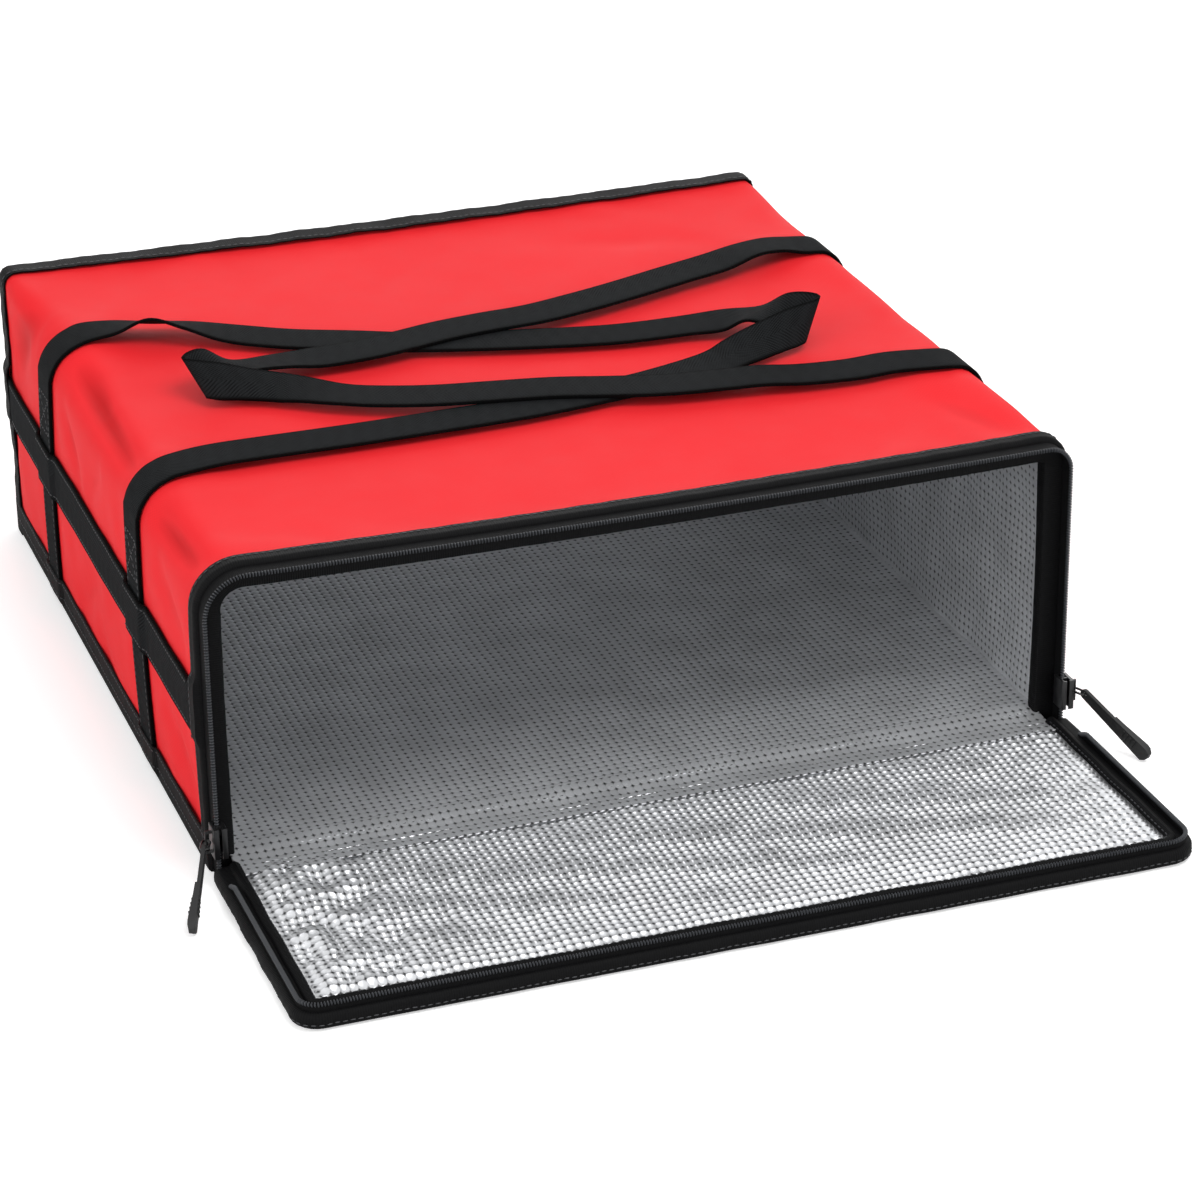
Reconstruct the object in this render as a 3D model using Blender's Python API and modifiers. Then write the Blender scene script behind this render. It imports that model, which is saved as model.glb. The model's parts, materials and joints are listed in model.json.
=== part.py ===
"""Insulated pizza delivery bag, standing open with its front flap laid on the ground.

The frame has its origin under the middle of the bag, +Z up, and the mouth faces -Y. All lengths
are in metres. The walls are layers: fabric outside, foam, and foil inside. Every wall layer is
placed by its inset, which is how far it lies inside the bag's outer face.
"""

import math

import bmesh
import bpy
from mathutils import Matrix, Vector

# Bag body
BAG_WIDTH = 0.420
BAG_DEPTH = 0.420
BAG_HEIGHT = 0.150
FRONT_CORNER_RADIUS = 0.020
BACK_CORNER_RADIUS = 0.008
LEAST_CORNER_RADIUS = 0.0006

# Layers of a wall
FABRIC = 0.0008
FOAM = 0.0050
FOIL = 0.0006
GAP = 0.0003
FOAM_CORNER_DROP = 0.004

# Binding tape folded over every raw edge
BINDING = 0.0008
BINDING_LEG = 0.0090
BACK_BINDING_LEG = 0.0120
BOTTOM_BINDING_LEG = 0.0180
BINDING_LAP = 0.0082

# Zipper: two tapes with a coil each, which meet at the closing line
TAPE = 0.0006
TAPE_WIDTH = 0.0069
FLAP_TAPE_WIDTH = 0.0020
COIL_THICKNESS = 0.0026
COIL_WIDTH = 0.0024
COIL_SPLIT = 0.0016
COIL_INSET = 0.0015

# Sliders and pulls
SLIDER_LENGTH = 0.0150
SLIDER_CLEARANCE = 0.0015
SLIDER_PLATE = 0.0015
SLIDER_FLANGE = 0.0008
FLANGE_CLEARANCE = 0.0007
SLOT_CLEARANCE = 0.0004
POST_LENGTH = 0.0050
POST_THICKNESS = 0.0010
CROWN_SPAN = 0.0110
CROWN_BAR_RADIUS = 0.0006
LINK_WIRE_RADIUS = 0.0006
LINK_BEND_RADIUS = 0.0018
LINK_LENGTH = 0.0050
PULL_LENGTH = 0.0440
PULL_WIDTH = 0.0070
PULL_THICKNESS = 0.0018
PULL_CHAMFER = 0.0022
PULL_EYE_RADIUS = 0.0012
PULL_EYE_RIM = 0.0012
PULL_END_HOLE_RADIUS = 0.0014
PULL_SPLAY_DEGREES = 22.4
RIM_START_CLEARANCE = 0.0010

# Webbing of the straps, side bands and handles
WEBBING_WIDTH = 0.025
WEBBING = 0.0016
BAND_HEIGHT = 0.0795
BAND_RAMP = 0.006
HANDLE_REACH = 0.350

# Hinge strip between the bottom and the flap
HINGE_STRIP = 0.0016

# Fineness of curves
CORNER_STEPS = 7
ROUTE_STEPS = 3
WIRE_STEPS = 8
HOLE_STEPS = 16

# Where the side straps cross the top edge and the bottom edge, as shares of half the depth
LEFT_STRAP_SHARES = {"rear": (0.467, 0.533), "front": (-0.400, -0.429)}
RIGHT_STRAP_SHARES = {"rear": (0.405, 0.452), "front": (-0.429, -0.452)}

# Handle routes: share of the reach, share of half the depth, layers of webbing beneath,
# lean of the webbing in degrees, and at the tip its turn towards the tip in degrees.
ROOT_LAYERS = 0.8
LEFT_HANDLE_SHARES = (
    (0.000, 0.467, ROOT_LAYERS, 0, 0),
    (0.040, 0.457, 0.6, -6, None),
    (0.091, 0.443, 0.0, -24, None),
    (0.143, 0.410, 0.0, -14, None),
    (0.200, 0.352, 0.0, -2, None),
    (0.271, 0.281, 0.0, 0, None),
    (0.357, 0.219, 0.0, 0, None),
    (0.423, 0.167, 0.0, 0, None),
    (0.500, 0.124, 0.0, 0, None),
    (0.600, 0.076, 0.0, 0, None),
    (0.714, 0.031, 0.0, 0, None),
    (0.814, 0.012, 0.3, 0, None),
    (0.869, -0.010, 0.8, 3, None),
    (0.909, -0.050, 3.0, -4, None),
    (0.946, -0.105, 2.0, 28, 30),
    (0.971, -0.148, 0.0, 46, 46),
    (0.960, -0.176, 0.0, 44, 42),
    (0.926, -0.185, 0.0, 36, 26),
    (0.886, -0.195, 0.0, 22, 8),
    (0.846, -0.210, 0.0, 9, None),
    (0.806, -0.236, 0.0, 2, None),
    (0.703, -0.281, 0.0, 0, None),
    (0.629, -0.300, 0.0, 0, None),
    (0.514, -0.326, 0.0, 0, None),
    (0.386, -0.338, 0.0, 0, None),
    (0.257, -0.348, 0.0, 0, None),
    (0.129, -0.355, 0.0, 0, None),
    (0.060, -0.371, 0.3, 0, None),
    (0.000, -0.400, ROOT_LAYERS, 0, 0),
)
RIGHT_HANDLE_SHARES = (
    (0.000, 0.405, ROOT_LAYERS, 0, 0),
    (0.040, 0.402, 1.5, -3, None),
    (0.086, 0.390, 1.5, -5, None),
    (0.143, 0.362, 1.2, 0, None),
    (0.214, 0.329, 1.0, 0, None),
    (0.300, 0.281, 1.0, 0, None),
    (0.377, 0.243, 1.0, 0, None),
    (0.457, 0.210, 1.0, 0, None),
    (0.529, 0.200, 1.0, 0, None),
    (0.600, 0.183, 1.0, 0, None),
    (0.663, 0.155, 1.0, 0, None),
    (0.729, 0.129, 1.0, 0, None),
    (0.800, 0.117, 1.0, 0, None),
    (0.857, 0.107, 1.0, -6, None),
    (0.914, 0.085, 2.0, -6, None),
    (0.960, 0.060, 2.0, 24, 12),
    (0.989, 0.030, 0.0, 38, 21),
    (0.983, 0.005, 0.0, 36, 21),
    (0.943, -0.010, 0.0, 27, 12),
    (0.900, -0.033, 0.0, 16, 0),
    (0.854, -0.071, 0.5, 6, None),
    (0.809, -0.124, 1.0, 0, None),
    (0.757, -0.167, 1.0, 0, None),
    (0.686, -0.205, 1.0, 0, None),
    (0.600, -0.231, 1.0, 0, None),
    (0.523, -0.257, 1.0, 0, None),
    (0.449, -0.300, 1.0, 0, None),
    (0.374, -0.338, 1.0, 0, None),
    (0.300, -0.357, 1.0, 0, None),
    (0.243, -0.371, 1.0, 0, None),
    (0.186, -0.390, 0.4, 0, None),
    (0.114, -0.400, 0.0, 0, None),
    (0.057, -0.402, 0.2, 0, None),
    (0.000, -0.429, ROOT_LAYERS, 0, 0),
)

# Places worked out from the sizes above
HALF_WIDTH = BAG_WIDTH / 2
HALF_DEPTH = BAG_DEPTH / 2
FOAM_OUTER = FABRIC + GAP
FOAM_INNER = FOAM_OUTER + FOAM
FOIL_OUTER = FOAM_INNER + GAP
WALL = FOIL_OUTER + FOIL
BINDING_OUTER = -GAP - BINDING
PANEL_INSET = BINDING_LAP + GAP
CLOSING_Y = -HALF_DEPTH
COIL_FRONT = CLOSING_Y + COIL_SPLIT / 2
COIL_BACK = COIL_FRONT + COIL_WIDTH
TAPE_FRONT = COIL_BACK + GAP
TAPE_BACK = TAPE_FRONT + TAPE_WIDTH
BINDING_FRONT = TAPE_BACK + GAP
WALL_FRONT = BINDING_FRONT + BINDING + GAP
WALL_BACK = HALF_DEPTH - FABRIC - GAP
BACK_FOIL = HALF_DEPTH - WALL
LINING_BACK = HALF_DEPTH - FOAM_INNER - GAP
FLAP_STACK = FOIL_OUTER + BINDING
FLAP_TAPE_FRONT = FLAP_STACK + GAP
FLAP_COIL_FRONT = FLAP_TAPE_FRONT + FLAP_TAPE_WIDTH + GAP
HINGE_Z = FLAP_COIL_FRONT + COIL_WIDTH + COIL_SPLIT / 2
FLAP_FACE = CLOSING_Y - HINGE_Z
BOARD_TOP = BAG_HEIGHT - FRONT_CORNER_RADIUS - FOAM_CORNER_DROP
SLIDER_FOOT = HINGE_Z + SLIDER_CLEARANCE
SLIDER_MIDDLE = SLIDER_FOOT + SLIDER_LENGTH / 2
RIM_FOOT = SLIDER_FOOT + SLIDER_LENGTH + RIM_START_CLEARANCE
HANDLE_HINGE_X = HALF_WIDTH - FRONT_CORNER_RADIUS
LAYER = WEBBING + GAP
HANDLE_HINGE_Z = BAG_HEIGHT + GAP + WEBBING / 2 + ROOT_LAYERS * LAYER


def clear_scene():
    for old in list(bpy.data.objects):
        bpy.data.objects.remove(old, do_unlink=True)


def new_collection(name):
    collection = bpy.data.collections.new(name)
    bpy.context.scene.collection.children.link(collection)
    return collection


def material(name, color, roughness, metallic):
    made = bpy.data.materials.new(name)
    made.use_nodes = True
    shader = made.node_tree.nodes["Principled BSDF"]
    shader.inputs["Base Color"].default_value = (*color, 1)
    shader.inputs["Roughness"].default_value = roughness
    shader.inputs["Metallic"].default_value = metallic
    return made


def add_object(name, data, finish):
    """Adds one sub-part to the bag's collection."""
    made = bpy.data.objects.new(name, data)
    made.data.materials.append(finish)
    bag_collection.objects.link(made)
    return made


def mesh_object(name, shape, finish):
    """Makes a sub-part of a finished bmesh, with its faces turned outwards."""
    bmesh.ops.recalc_face_normals(shape, faces=shape.faces)
    mesh = bpy.data.meshes.new(name)
    shape.to_mesh(mesh)
    shape.free()
    made = add_object(name, mesh, finish)
    mesh.shade_smooth()
    mesh.set_sharp_from_angle(angle=math.radians(35))
    return made


def empty(name, place, turn=(0, 0, 0), parent=None):
    """An empty on a joint's axis. The pieces that move there are its children."""
    made = bpy.data.objects.new(name, None)
    bag_collection.objects.link(made)
    made.location = place
    made.rotation_euler = turn
    if parent:
        made.parent = parent
        made.matrix_parent_inverse = Matrix.Translation(-parent.location)
    return made


def carry(piece, joint):
    """Hangs a piece, modelled in the bag's own frame, on a joint's empty."""
    piece.parent = joint
    piece.matrix_parent_inverse = Matrix.Translation(-joint.location)


def box(name, low, high, finish):
    low, high = Vector(low), Vector(high)
    middle = Matrix.Translation((low + high) / 2)
    shape = bmesh.new()
    bmesh.ops.create_cube(shape, size=1, matrix=middle @ Matrix.Diagonal((*(high - low), 1)))
    return mesh_object(name, shape, finish)


def prism(name, outline, along, finish):
    """A flat outline of points, extruded by the vector along."""
    shape = bmesh.new()
    face = shape.faces.new([shape.verts.new(point) for point in outline])
    grown = bmesh.ops.extrude_face_region(shape, geom=[face])["geom"]
    corners = [item for item in grown if isinstance(item, bmesh.types.BMVert)]
    bmesh.ops.translate(shape, verts=corners, vec=along)
    return mesh_object(name, shape, finish)


def corner_radius(y):
    """The rounding of the top's side edges, which narrows from the mouth to the back."""
    share = min(max((y - CLOSING_Y) / BAG_DEPTH, 0), 1)
    return FRONT_CORNER_RADIUS + share * (BACK_CORNER_RADIUS - FRONT_CORNER_RADIUS)


def arch(inset, y, foot):
    """Points up the left wall, over the top and down the right wall, at one inset and depth."""
    radius = max(corner_radius(y) - inset, LEAST_CORNER_RADIUS)
    side = HALF_WIDTH - inset - radius
    top = BAG_HEIGHT - inset - radius
    points = [Vector((-side - radius, y, foot))]
    for middle, start in ((-side, math.pi), (side, math.pi / 2)):
        for step in range(CORNER_STEPS + 1):
            angle = start - math.pi / 2 * step / CORNER_STEPS
            points.append(
                Vector((middle + radius * math.cos(angle), y, top + radius * math.sin(angle)))
            )
    points.append(Vector((side + radius, y, foot)))
    return points


def arch_sweep(name, section, foot, finish):
    """Carries a section of (inset, depth) corners round the arch. Since the arch's rounding
    changes with depth, this is a loft, so its faces are joined here."""
    shape = bmesh.new()
    rows = [[shape.verts.new(p) for p in arch(inset, y, foot)] for inset, y in section]
    for row, after in zip(rows, rows[1:] + rows[:1]):
        for k in range(len(row) - 1):
            shape.faces.new((row[k], row[k + 1], after[k + 1], after[k]))
    shape.faces.new([row[0] for row in rows])
    shape.faces.new([row[-1] for row in reversed(rows)])
    return mesh_object(name, shape, finish)


def layer(name, outer, inner, front, back, foot, finish):
    """One layer of the arched wall between two insets and two depths."""
    section = ((outer, front), (outer, back), (inner, back), (inner, front))
    return arch_sweep(name, section, foot, finish)


def plate(name, inset, front, back, foot, finish):
    """A flat upright panel with the arch's outline."""
    return prism(name, arch(inset, front, foot), (0, back - front, 0), finish)


def smooth_route(points):
    """A curve through all the given tuples of numbers, ROUTE_STEPS stretches to each span."""
    first = [2 * a - b for a, b in zip(points[0], points[1])]
    last = [2 * a - b for a, b in zip(points[-1], points[-2])]
    knots = [first, *points, last]
    route = []
    for a, b, c, d in zip(knots, knots[1:], knots[2:], knots[3:]):
        for step in range(ROUTE_STEPS):
            t = step / ROUTE_STEPS
            route.append(
                [
                    q + t * (r - p + t * (2 * p - 5 * q + 4 * r - s + t * (3 * (q - r) + s - p))) / 2
                    for p, q, r, s in zip(a, b, c, d)
                ]
            )
    route.append(list(points[-1]))
    return route


def ribbon(name, edges, thickness, finish):
    """A strap: an open strip between two rows of edge points, given its thickness."""
    shape = bmesh.new()
    pairs = [[shape.verts.new(point) for point in pair] for pair in edges]
    for (a, b), (c, d) in zip(pairs, pairs[1:]):
        shape.faces.new((a, b, d, c))
    made = mesh_object(name, shape, finish)
    skin = made.modifiers.new("Webbing", "SOLIDIFY")
    skin.thickness = thickness
    skin.offset = 0
    skin.use_even_offset = True
    return made


def outer_shell():
    """The red sleeve over both sides and the top, the back panel and the bottom panel."""
    layer("outer_sleeve", 0, FABRIC, WALL_FRONT, WALL_BACK, FOAM_OUTER, red_fabric)
    plate("back_panel", 0, HALF_DEPTH - FABRIC, HALF_DEPTH, FOAM_OUTER, red_fabric)
    side = HALF_WIDTH - PANEL_INSET
    box(
        "bottom_panel",
        (-side, WALL_FRONT, 0),
        (side, HALF_DEPTH - PANEL_INSET, FABRIC),
        red_fabric,
    )


def foam_boards():
    """The boards that keep the bag stiff, one in each wall. The top's turns over both corners."""
    for name, side in (("left_foam", -1), ("right_foam", 1)):
        faces = sorted((side * (HALF_WIDTH - FOAM_OUTER), side * (HALF_WIDTH - FOAM_INNER)))
        box(
            name,
            (faces[0], WALL_FRONT, FOAM_OUTER),
            (faces[1], LINING_BACK, BOARD_TOP - GAP),
            white_foam,
        )
    layer("top_foam", FOAM_OUTER, FOAM_INNER, WALL_FRONT, LINING_BACK, BOARD_TOP, white_foam)
    plate("back_foam", FOAM_OUTER, LINING_BACK + GAP, WALL_BACK, FOAM_OUTER, white_foam)
    side = HALF_WIDTH - WALL - GAP
    box("bottom_foam", (-side, WALL_FRONT, FOAM_OUTER), (side, BACK_FOIL - GAP, FOAM_INNER), white_foam)


def linings():
    """The foil inside the sleeve, on the back and on the bottom."""
    layer("sleeve_lining", FOIL_OUTER, WALL, WALL_FRONT, LINING_BACK, FOAM_OUTER, silver_foil)
    plate("back_lining", WALL + GAP, BACK_FOIL, LINING_BACK, FOAM_OUTER, silver_foil)
    side = HALF_WIDTH - WALL - GAP
    box("bottom_lining", (-side, WALL_FRONT, FOIL_OUTER), (side, BACK_FOIL - GAP, WALL), silver_foil)


def bindings():
    """Tape round the mouth, round the back panel and along the bottom's three closed edges."""
    back_of_leg = BINDING_FRONT + BINDING_LEG
    inner = WALL + GAP
    mouth = (
        (BINDING_OUTER, back_of_leg),
        (BINDING_OUTER, BINDING_FRONT),
        (inner + BINDING, BINDING_FRONT),
        (inner + BINDING, back_of_leg),
        (inner, back_of_leg),
        (inner, WALL_FRONT - GAP),
        (-GAP, WALL_FRONT - GAP),
        (-GAP, back_of_leg),
    )
    foot = BOTTOM_BINDING_LEG + GAP
    arch_sweep("opening_binding", mouth, foot, black_binding)
    rear = HALF_DEPTH - BINDING_OUTER
    back = (
        (BINDING_OUTER, rear),
        (BINDING_LAP, rear),
        (BINDING_LAP, rear - BINDING),
        (-GAP, rear - BINDING),
        (-GAP, rear - BACK_BINDING_LEG),
        (BINDING_OUTER, rear - BACK_BINDING_LEG),
    )
    arch_sweep("back_binding", back, foot, black_binding)
    profile = (
        (BINDING_OUTER, 0),
        (BINDING_LAP, 0),
        (BINDING_LAP, BINDING),
        (-GAP, BINDING),
        (-GAP, BOTTOM_BINDING_LEG),
        (BINDING_OUTER, BOTTOM_BINDING_LEG),
    )
    length = HALF_DEPTH - PANEL_INSET - WALL_FRONT
    for name, side in (("left_bottom_binding", -1), ("right_bottom_binding", 1)):
        outline = [(side * (HALF_WIDTH - inset), WALL_FRONT, z) for inset, z in profile]
        prism(name, outline, (0, length, 0), black_binding)
    end = HALF_WIDTH - BINDING_OUTER
    outline = [(-end, HALF_DEPTH - inset, z) for inset, z in profile]
    prism("back_bottom_binding", outline, (2 * end, 0, 0), black_binding)


def zipper_half(names, tape, coil, foot):
    """One tape and its coil round the arch, each between two depths."""
    layer(names[0], COIL_INSET - TAPE / 2, COIL_INSET + TAPE / 2, *tape, foot, black_tape)
    half = COIL_THICKNESS / 2
    layer(names[1], COIL_INSET - half, COIL_INSET + half, *coil, foot, black_coil)


def body_zipper():
    zipper_half(
        ("body_zipper_tape", "body_zipper_coil"),
        (TAPE_FRONT, TAPE_BACK),
        (COIL_FRONT, COIL_BACK),
        HINGE_STRIP + GAP,
    )


def flap():
    """The front flap. It is modelled closed, and its hinge's empty lays it open."""
    hinge = empty("flap_hinge", (0, CLOSING_Y, HINGE_Z), (math.pi / 2, 0, 0))
    before = set(bag_collection.objects)
    foot = HINGE_Z + GAP
    plate("flap_panel", PANEL_INSET, FLAP_FACE, FLAP_FACE + FABRIC, foot, red_fabric)
    plate("flap_foam", 0, FLAP_FACE + FOAM_OUTER, FLAP_FACE + FOAM_INNER, foot, white_foam)
    plate(
        "flap_lining", PANEL_INSET, FLAP_FACE + FOIL_OUTER, FLAP_FACE + WALL, foot, silver_foil
    )
    edge = (
        (BINDING_LAP, FLAP_FACE),
        (BINDING_OUTER, FLAP_FACE),
        (BINDING_OUTER, FLAP_FACE + FLAP_STACK),
        (BINDING_LAP, FLAP_FACE + FLAP_STACK),
        (BINDING_LAP, FLAP_FACE + FOIL_OUTER),
        (-GAP, FLAP_FACE + FOIL_OUTER),
        (-GAP, FLAP_FACE + FABRIC),
        (BINDING_LAP, FLAP_FACE + FABRIC),
    )
    arch_sweep("flap_binding", edge, foot, black_binding)
    tape_front = FLAP_FACE + FLAP_TAPE_FRONT
    coil_front = FLAP_FACE + FLAP_COIL_FRONT
    zipper_half(
        ("flap_zipper_tape", "flap_zipper_coil"),
        (tape_front, tape_front + FLAP_TAPE_WIDTH),
        (coil_front, coil_front + COIL_WIDTH),
        RIM_FOOT,
    )
    for piece in set(bag_collection.objects) - before:
        carry(piece, hinge)


def hinge_strip():
    """The doubled fabric that the flap folds on, sewn along the bottom's front edge."""
    box(
        "flap_hinge_strip",
        (-HALF_WIDTH, CLOSING_Y, 0),
        (HALF_WIDTH, WALL_FRONT - GAP, HINGE_STRIP),
        black_binding,
    )


def strap_place(shares, height):
    """Depth of a side strap's middle at a height, between its two ends."""
    top, bottom = (share * HALF_DEPTH for share in shares)
    return bottom + (top - bottom) * height / BAG_HEIGHT


def side_strap(name, side, shares):
    """A strap up one side and over its rounded edge, to where the handle's webbing leaves it."""
    route = []
    depth = strap_place(shares, BAG_HEIGHT)
    shell = arch(-GAP - WEBBING / 2, depth, BOTTOM_BINDING_LEG + GAP)
    for point in shell[: CORNER_STEPS + 2]:
        route.append(Vector((-side * point.x, strap_place(shares, point.z), point.z)))
    end = HANDLE_HINGE_X + WEBBING / 2 + GAP
    route[-1].x = side * end
    if abs(route[-2].x) < end:
        route.pop(-2)
    half = Vector((0, WEBBING_WIDTH / 2, 0))
    ribbon(name, [(point - half, point + half) for point in route], WEBBING, black_webbing)


def side_band(name, side, straps):
    """The band along one side at mid height, which passes over the two straps there."""
    front = BINDING_FRONT + BINDING_LEG + GAP
    back = HALF_DEPTH - BINDING_OUTER - BACK_BINDING_LEG - GAP
    stops = [(front, 0)]
    for shares in sorted(straps.values()):
        middle = strap_place(shares, BAND_HEIGHT)
        half = WEBBING_WIDTH / 2 + LAYER
        stops.append((middle - half - BAND_RAMP, 0))
        stops.append((middle - half, 1))
        stops.append((middle + half, 1))
        stops.append((middle + half + BAND_RAMP, 0))
    stops.append((back, 0))
    surface = HALF_WIDTH + GAP + WEBBING / 2
    low = BAND_HEIGHT - WEBBING_WIDTH / 2
    high = BAND_HEIGHT + WEBBING_WIDTH / 2
    edges = [
        (Vector((side * (surface + n * LAYER), y, low)), Vector((side * (surface + n * LAYER), y, high)))
        for y, n in stops
    ]
    ribbon(name, edges, WEBBING, black_webbing)


def back_band():
    """The same band across the back panel, between the binding's two legs."""
    end = HALF_WIDTH - PANEL_INSET
    box(
        "back_band",
        (-end, HALF_DEPTH + GAP, BAND_HEIGHT - WEBBING_WIDTH / 2),
        (end, HALF_DEPTH + GAP + WEBBING, BAND_HEIGHT + WEBBING_WIDTH / 2),
        black_webbing,
    )


def straps_and_bands():
    for word, side, straps in (
        ("left", -1, LEFT_STRAP_SHARES),
        ("right", 1, RIGHT_STRAP_SHARES),
    ):
        for place, shares in straps.items():
            side_strap(f"{word}_{place}_strap", side, shares)
        side_band(f"{word}_side_band", side, straps)
    back_band()


def square_turn(before, after):
    """How far the webbing's width turns from +Y to stay square to its route, in degrees."""
    along = (after[0] - before[0]) * HANDLE_REACH
    across = (after[1] - before[1]) * HALF_DEPTH
    if along < 0:
        along, across = -along, -across
    return math.degrees(math.atan2(-across, along))


def handle_edges(shares, side):
    """Edge points of one handle, whose webbing twists up on its edge at the tip."""
    ends = [shares[0], *shares, shares[-1]]
    knots = [
        (reach, depth, layers, lean, square_turn(a, c) if turn is None else turn)
        for a, (reach, depth, layers, lean, turn), c in zip(ends, shares, ends[2:])
    ]
    edges = []
    for reach, depth, layers, lean, turn in smooth_route(knots):
        lean, turn = math.radians(lean), math.radians(turn)
        width = Vector((math.cos(lean) * math.sin(turn), math.cos(lean) * math.cos(turn), math.sin(lean)))
        half = width * WEBBING_WIDTH / 2
        rise = BAG_HEIGHT + GAP + WEBBING / 2 * math.cos(lean) + layers * LAYER + abs(half.z)
        middle = Vector((reach * HANDLE_REACH - HANDLE_HINGE_X, depth * HALF_DEPTH, rise))
        pair = (middle - half, middle + half)
        edges.append([Vector((-side * p.x, p.y, p.z)) for p in pair])
    return edges


def handles():
    """Two loops of webbing. The right one lies over the left one where they cross."""
    for word, side, shares in (
        ("left", -1, LEFT_HANDLE_SHARES),
        ("right", 1, RIGHT_HANDLE_SHARES),
    ):
        hinge = empty(f"{word}_handle_hinge", (side * HANDLE_HINGE_X, 0, HANDLE_HINGE_Z))
        made = ribbon(f"{word}_handle", handle_edges(shares, side), WEBBING, black_webbing)
        carry(made, hinge)


def slider_channel(face, inward):
    """Outline of one slider plate with its two flanges, as (x, y) points."""
    reach = COIL_SPLIT / 2 + COIL_WIDTH + FLANGE_CLEARANCE
    outer = reach + SLIDER_FLANGE
    plate_in = face + inward * SLIDER_PLATE
    tip = plate_in + inward * (GAP + (COIL_THICKNESS - TAPE) / 2 - SLOT_CLEARANCE)
    return [
        (face, CLOSING_Y - outer),
        (face, CLOSING_Y + outer),
        (tip, CLOSING_Y + outer),
        (tip, CLOSING_Y + reach),
        (plate_in, CLOSING_Y + reach),
        (plate_in, CLOSING_Y - reach),
        (tip, CLOSING_Y - reach),
        (tip, CLOSING_Y - outer),
    ]


def join(piece, helpers):
    """Makes the helpers part of the piece with Boolean unions, and hides them."""
    for helper in helpers:
        bag_collection.objects.unlink(helper)
        helper_collection.objects.link(helper)
        helper.hide_render = True
        helper.display_type = "WIRE"
        union = piece.modifiers.new(helper.name, "BOOLEAN")
        union.operation = "UNION"
        union.object = helper


def slider(word, side):
    """A slider round the body's coil, with the post that parts the coils and a crown outside."""
    up = (0, 0, SLIDER_LENGTH)
    wall = HALF_WIDTH - COIL_INSET
    half = COIL_THICKNESS / 2 + GAP + SLIDER_PLATE
    outer_face = side * (wall + half)
    inner_face = side * (wall - half)
    outline = [(x, y, SLIDER_FOOT) for x, y in slider_channel(outer_face, -side)]
    body = prism(f"{word}_slider", outline, up, black_metal)
    outline = [(x, y, SLIDER_FOOT) for x, y in slider_channel(inner_face, side)]
    inner = prism(f"{word}_slider_inner_plate", outline, up, black_metal)
    head = SLIDER_FOOT + SLIDER_LENGTH
    grip = SLIDER_PLATE / 2
    ends = sorted((outer_face - side * grip, inner_face + side * grip))
    post = box(
        f"{word}_slider_post",
        (ends[0], CLOSING_Y - POST_THICKNESS / 2, head - POST_LENGTH),
        (ends[1], CLOSING_Y + POST_THICKNESS / 2, head - GAP),
        black_metal,
    )
    helpers = [inner, post]
    bar = crown_place(side)
    leg = 2 * CROWN_BAR_RADIUS
    for place, z in (("low", -1), ("high", 1)):
        middle = SLIDER_MIDDLE + z * (CROWN_SPAN - leg) / 2
        ends = sorted((outer_face - side * grip, bar.x))
        helpers.append(
            box(
                f"{word}_crown_{place}_leg",
                (ends[0], CLOSING_Y - CROWN_BAR_RADIUS, middle - leg / 2),
                (ends[1], CLOSING_Y + CROWN_BAR_RADIUS, middle + leg / 2),
                black_metal,
            )
        )
    shape = bmesh.new()
    bmesh.ops.create_cone(
        shape,
        cap_ends=True,
        segments=WIRE_STEPS * 2,
        radius1=CROWN_BAR_RADIUS,
        radius2=CROWN_BAR_RADIUS,
        depth=CROWN_SPAN,
        matrix=Matrix.Translation(bar),
    )
    helpers.append(mesh_object(f"{word}_crown_bar", shape, black_metal))
    join(body, helpers)
    return body


def crown_place(side):
    """Middle of the crown's bar, far enough out for the link's wire to pass behind it."""
    plate_out = HALF_WIDTH - COIL_INSET + COIL_THICKNESS / 2 + GAP + SLIDER_PLATE
    out = plate_out + GAP + LINK_WIRE_RADIUS + LINK_BEND_RADIUS
    return Vector((side * out, CLOSING_Y, SLIDER_MIDDLE))


def pull_direction(side):
    """The level direction in which the pull lies, forwards and a little outwards."""
    splay = math.radians(PULL_SPLAY_DEGREES)
    return Vector((side * math.sin(splay), -math.cos(splay), 0))


def pull_link(word, side):
    """The level wire ring through the crown and the pull's eye."""
    near = crown_place(side)
    ahead = pull_direction(side)
    across = Vector((0, 0, 1)).cross(ahead)
    points = []
    for middle, start in ((near, math.pi / 2), (near + ahead * LINK_LENGTH, -math.pi / 2)):
        for step in range(WIRE_STEPS + 1):
            angle = start + math.pi * step / WIRE_STEPS
            arm = ahead * math.cos(angle) + across * math.sin(angle)
            points.append(middle + arm * LINK_BEND_RADIUS)
    curve = bpy.data.curves.new(f"{word}_pull_link", "CURVE")
    curve.dimensions = "3D"
    curve.bevel_depth = LINK_WIRE_RADIUS
    curve.bevel_resolution = 1
    spline = curve.splines.new("POLY")
    spline.points.add(len(points) - 1)
    for knot, point in zip(spline.points, points):
        knot.co = (*point, 1)
    spline.use_cyclic_u = True
    return add_object(f"{word}_pull_link", curve, black_metal)


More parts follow.
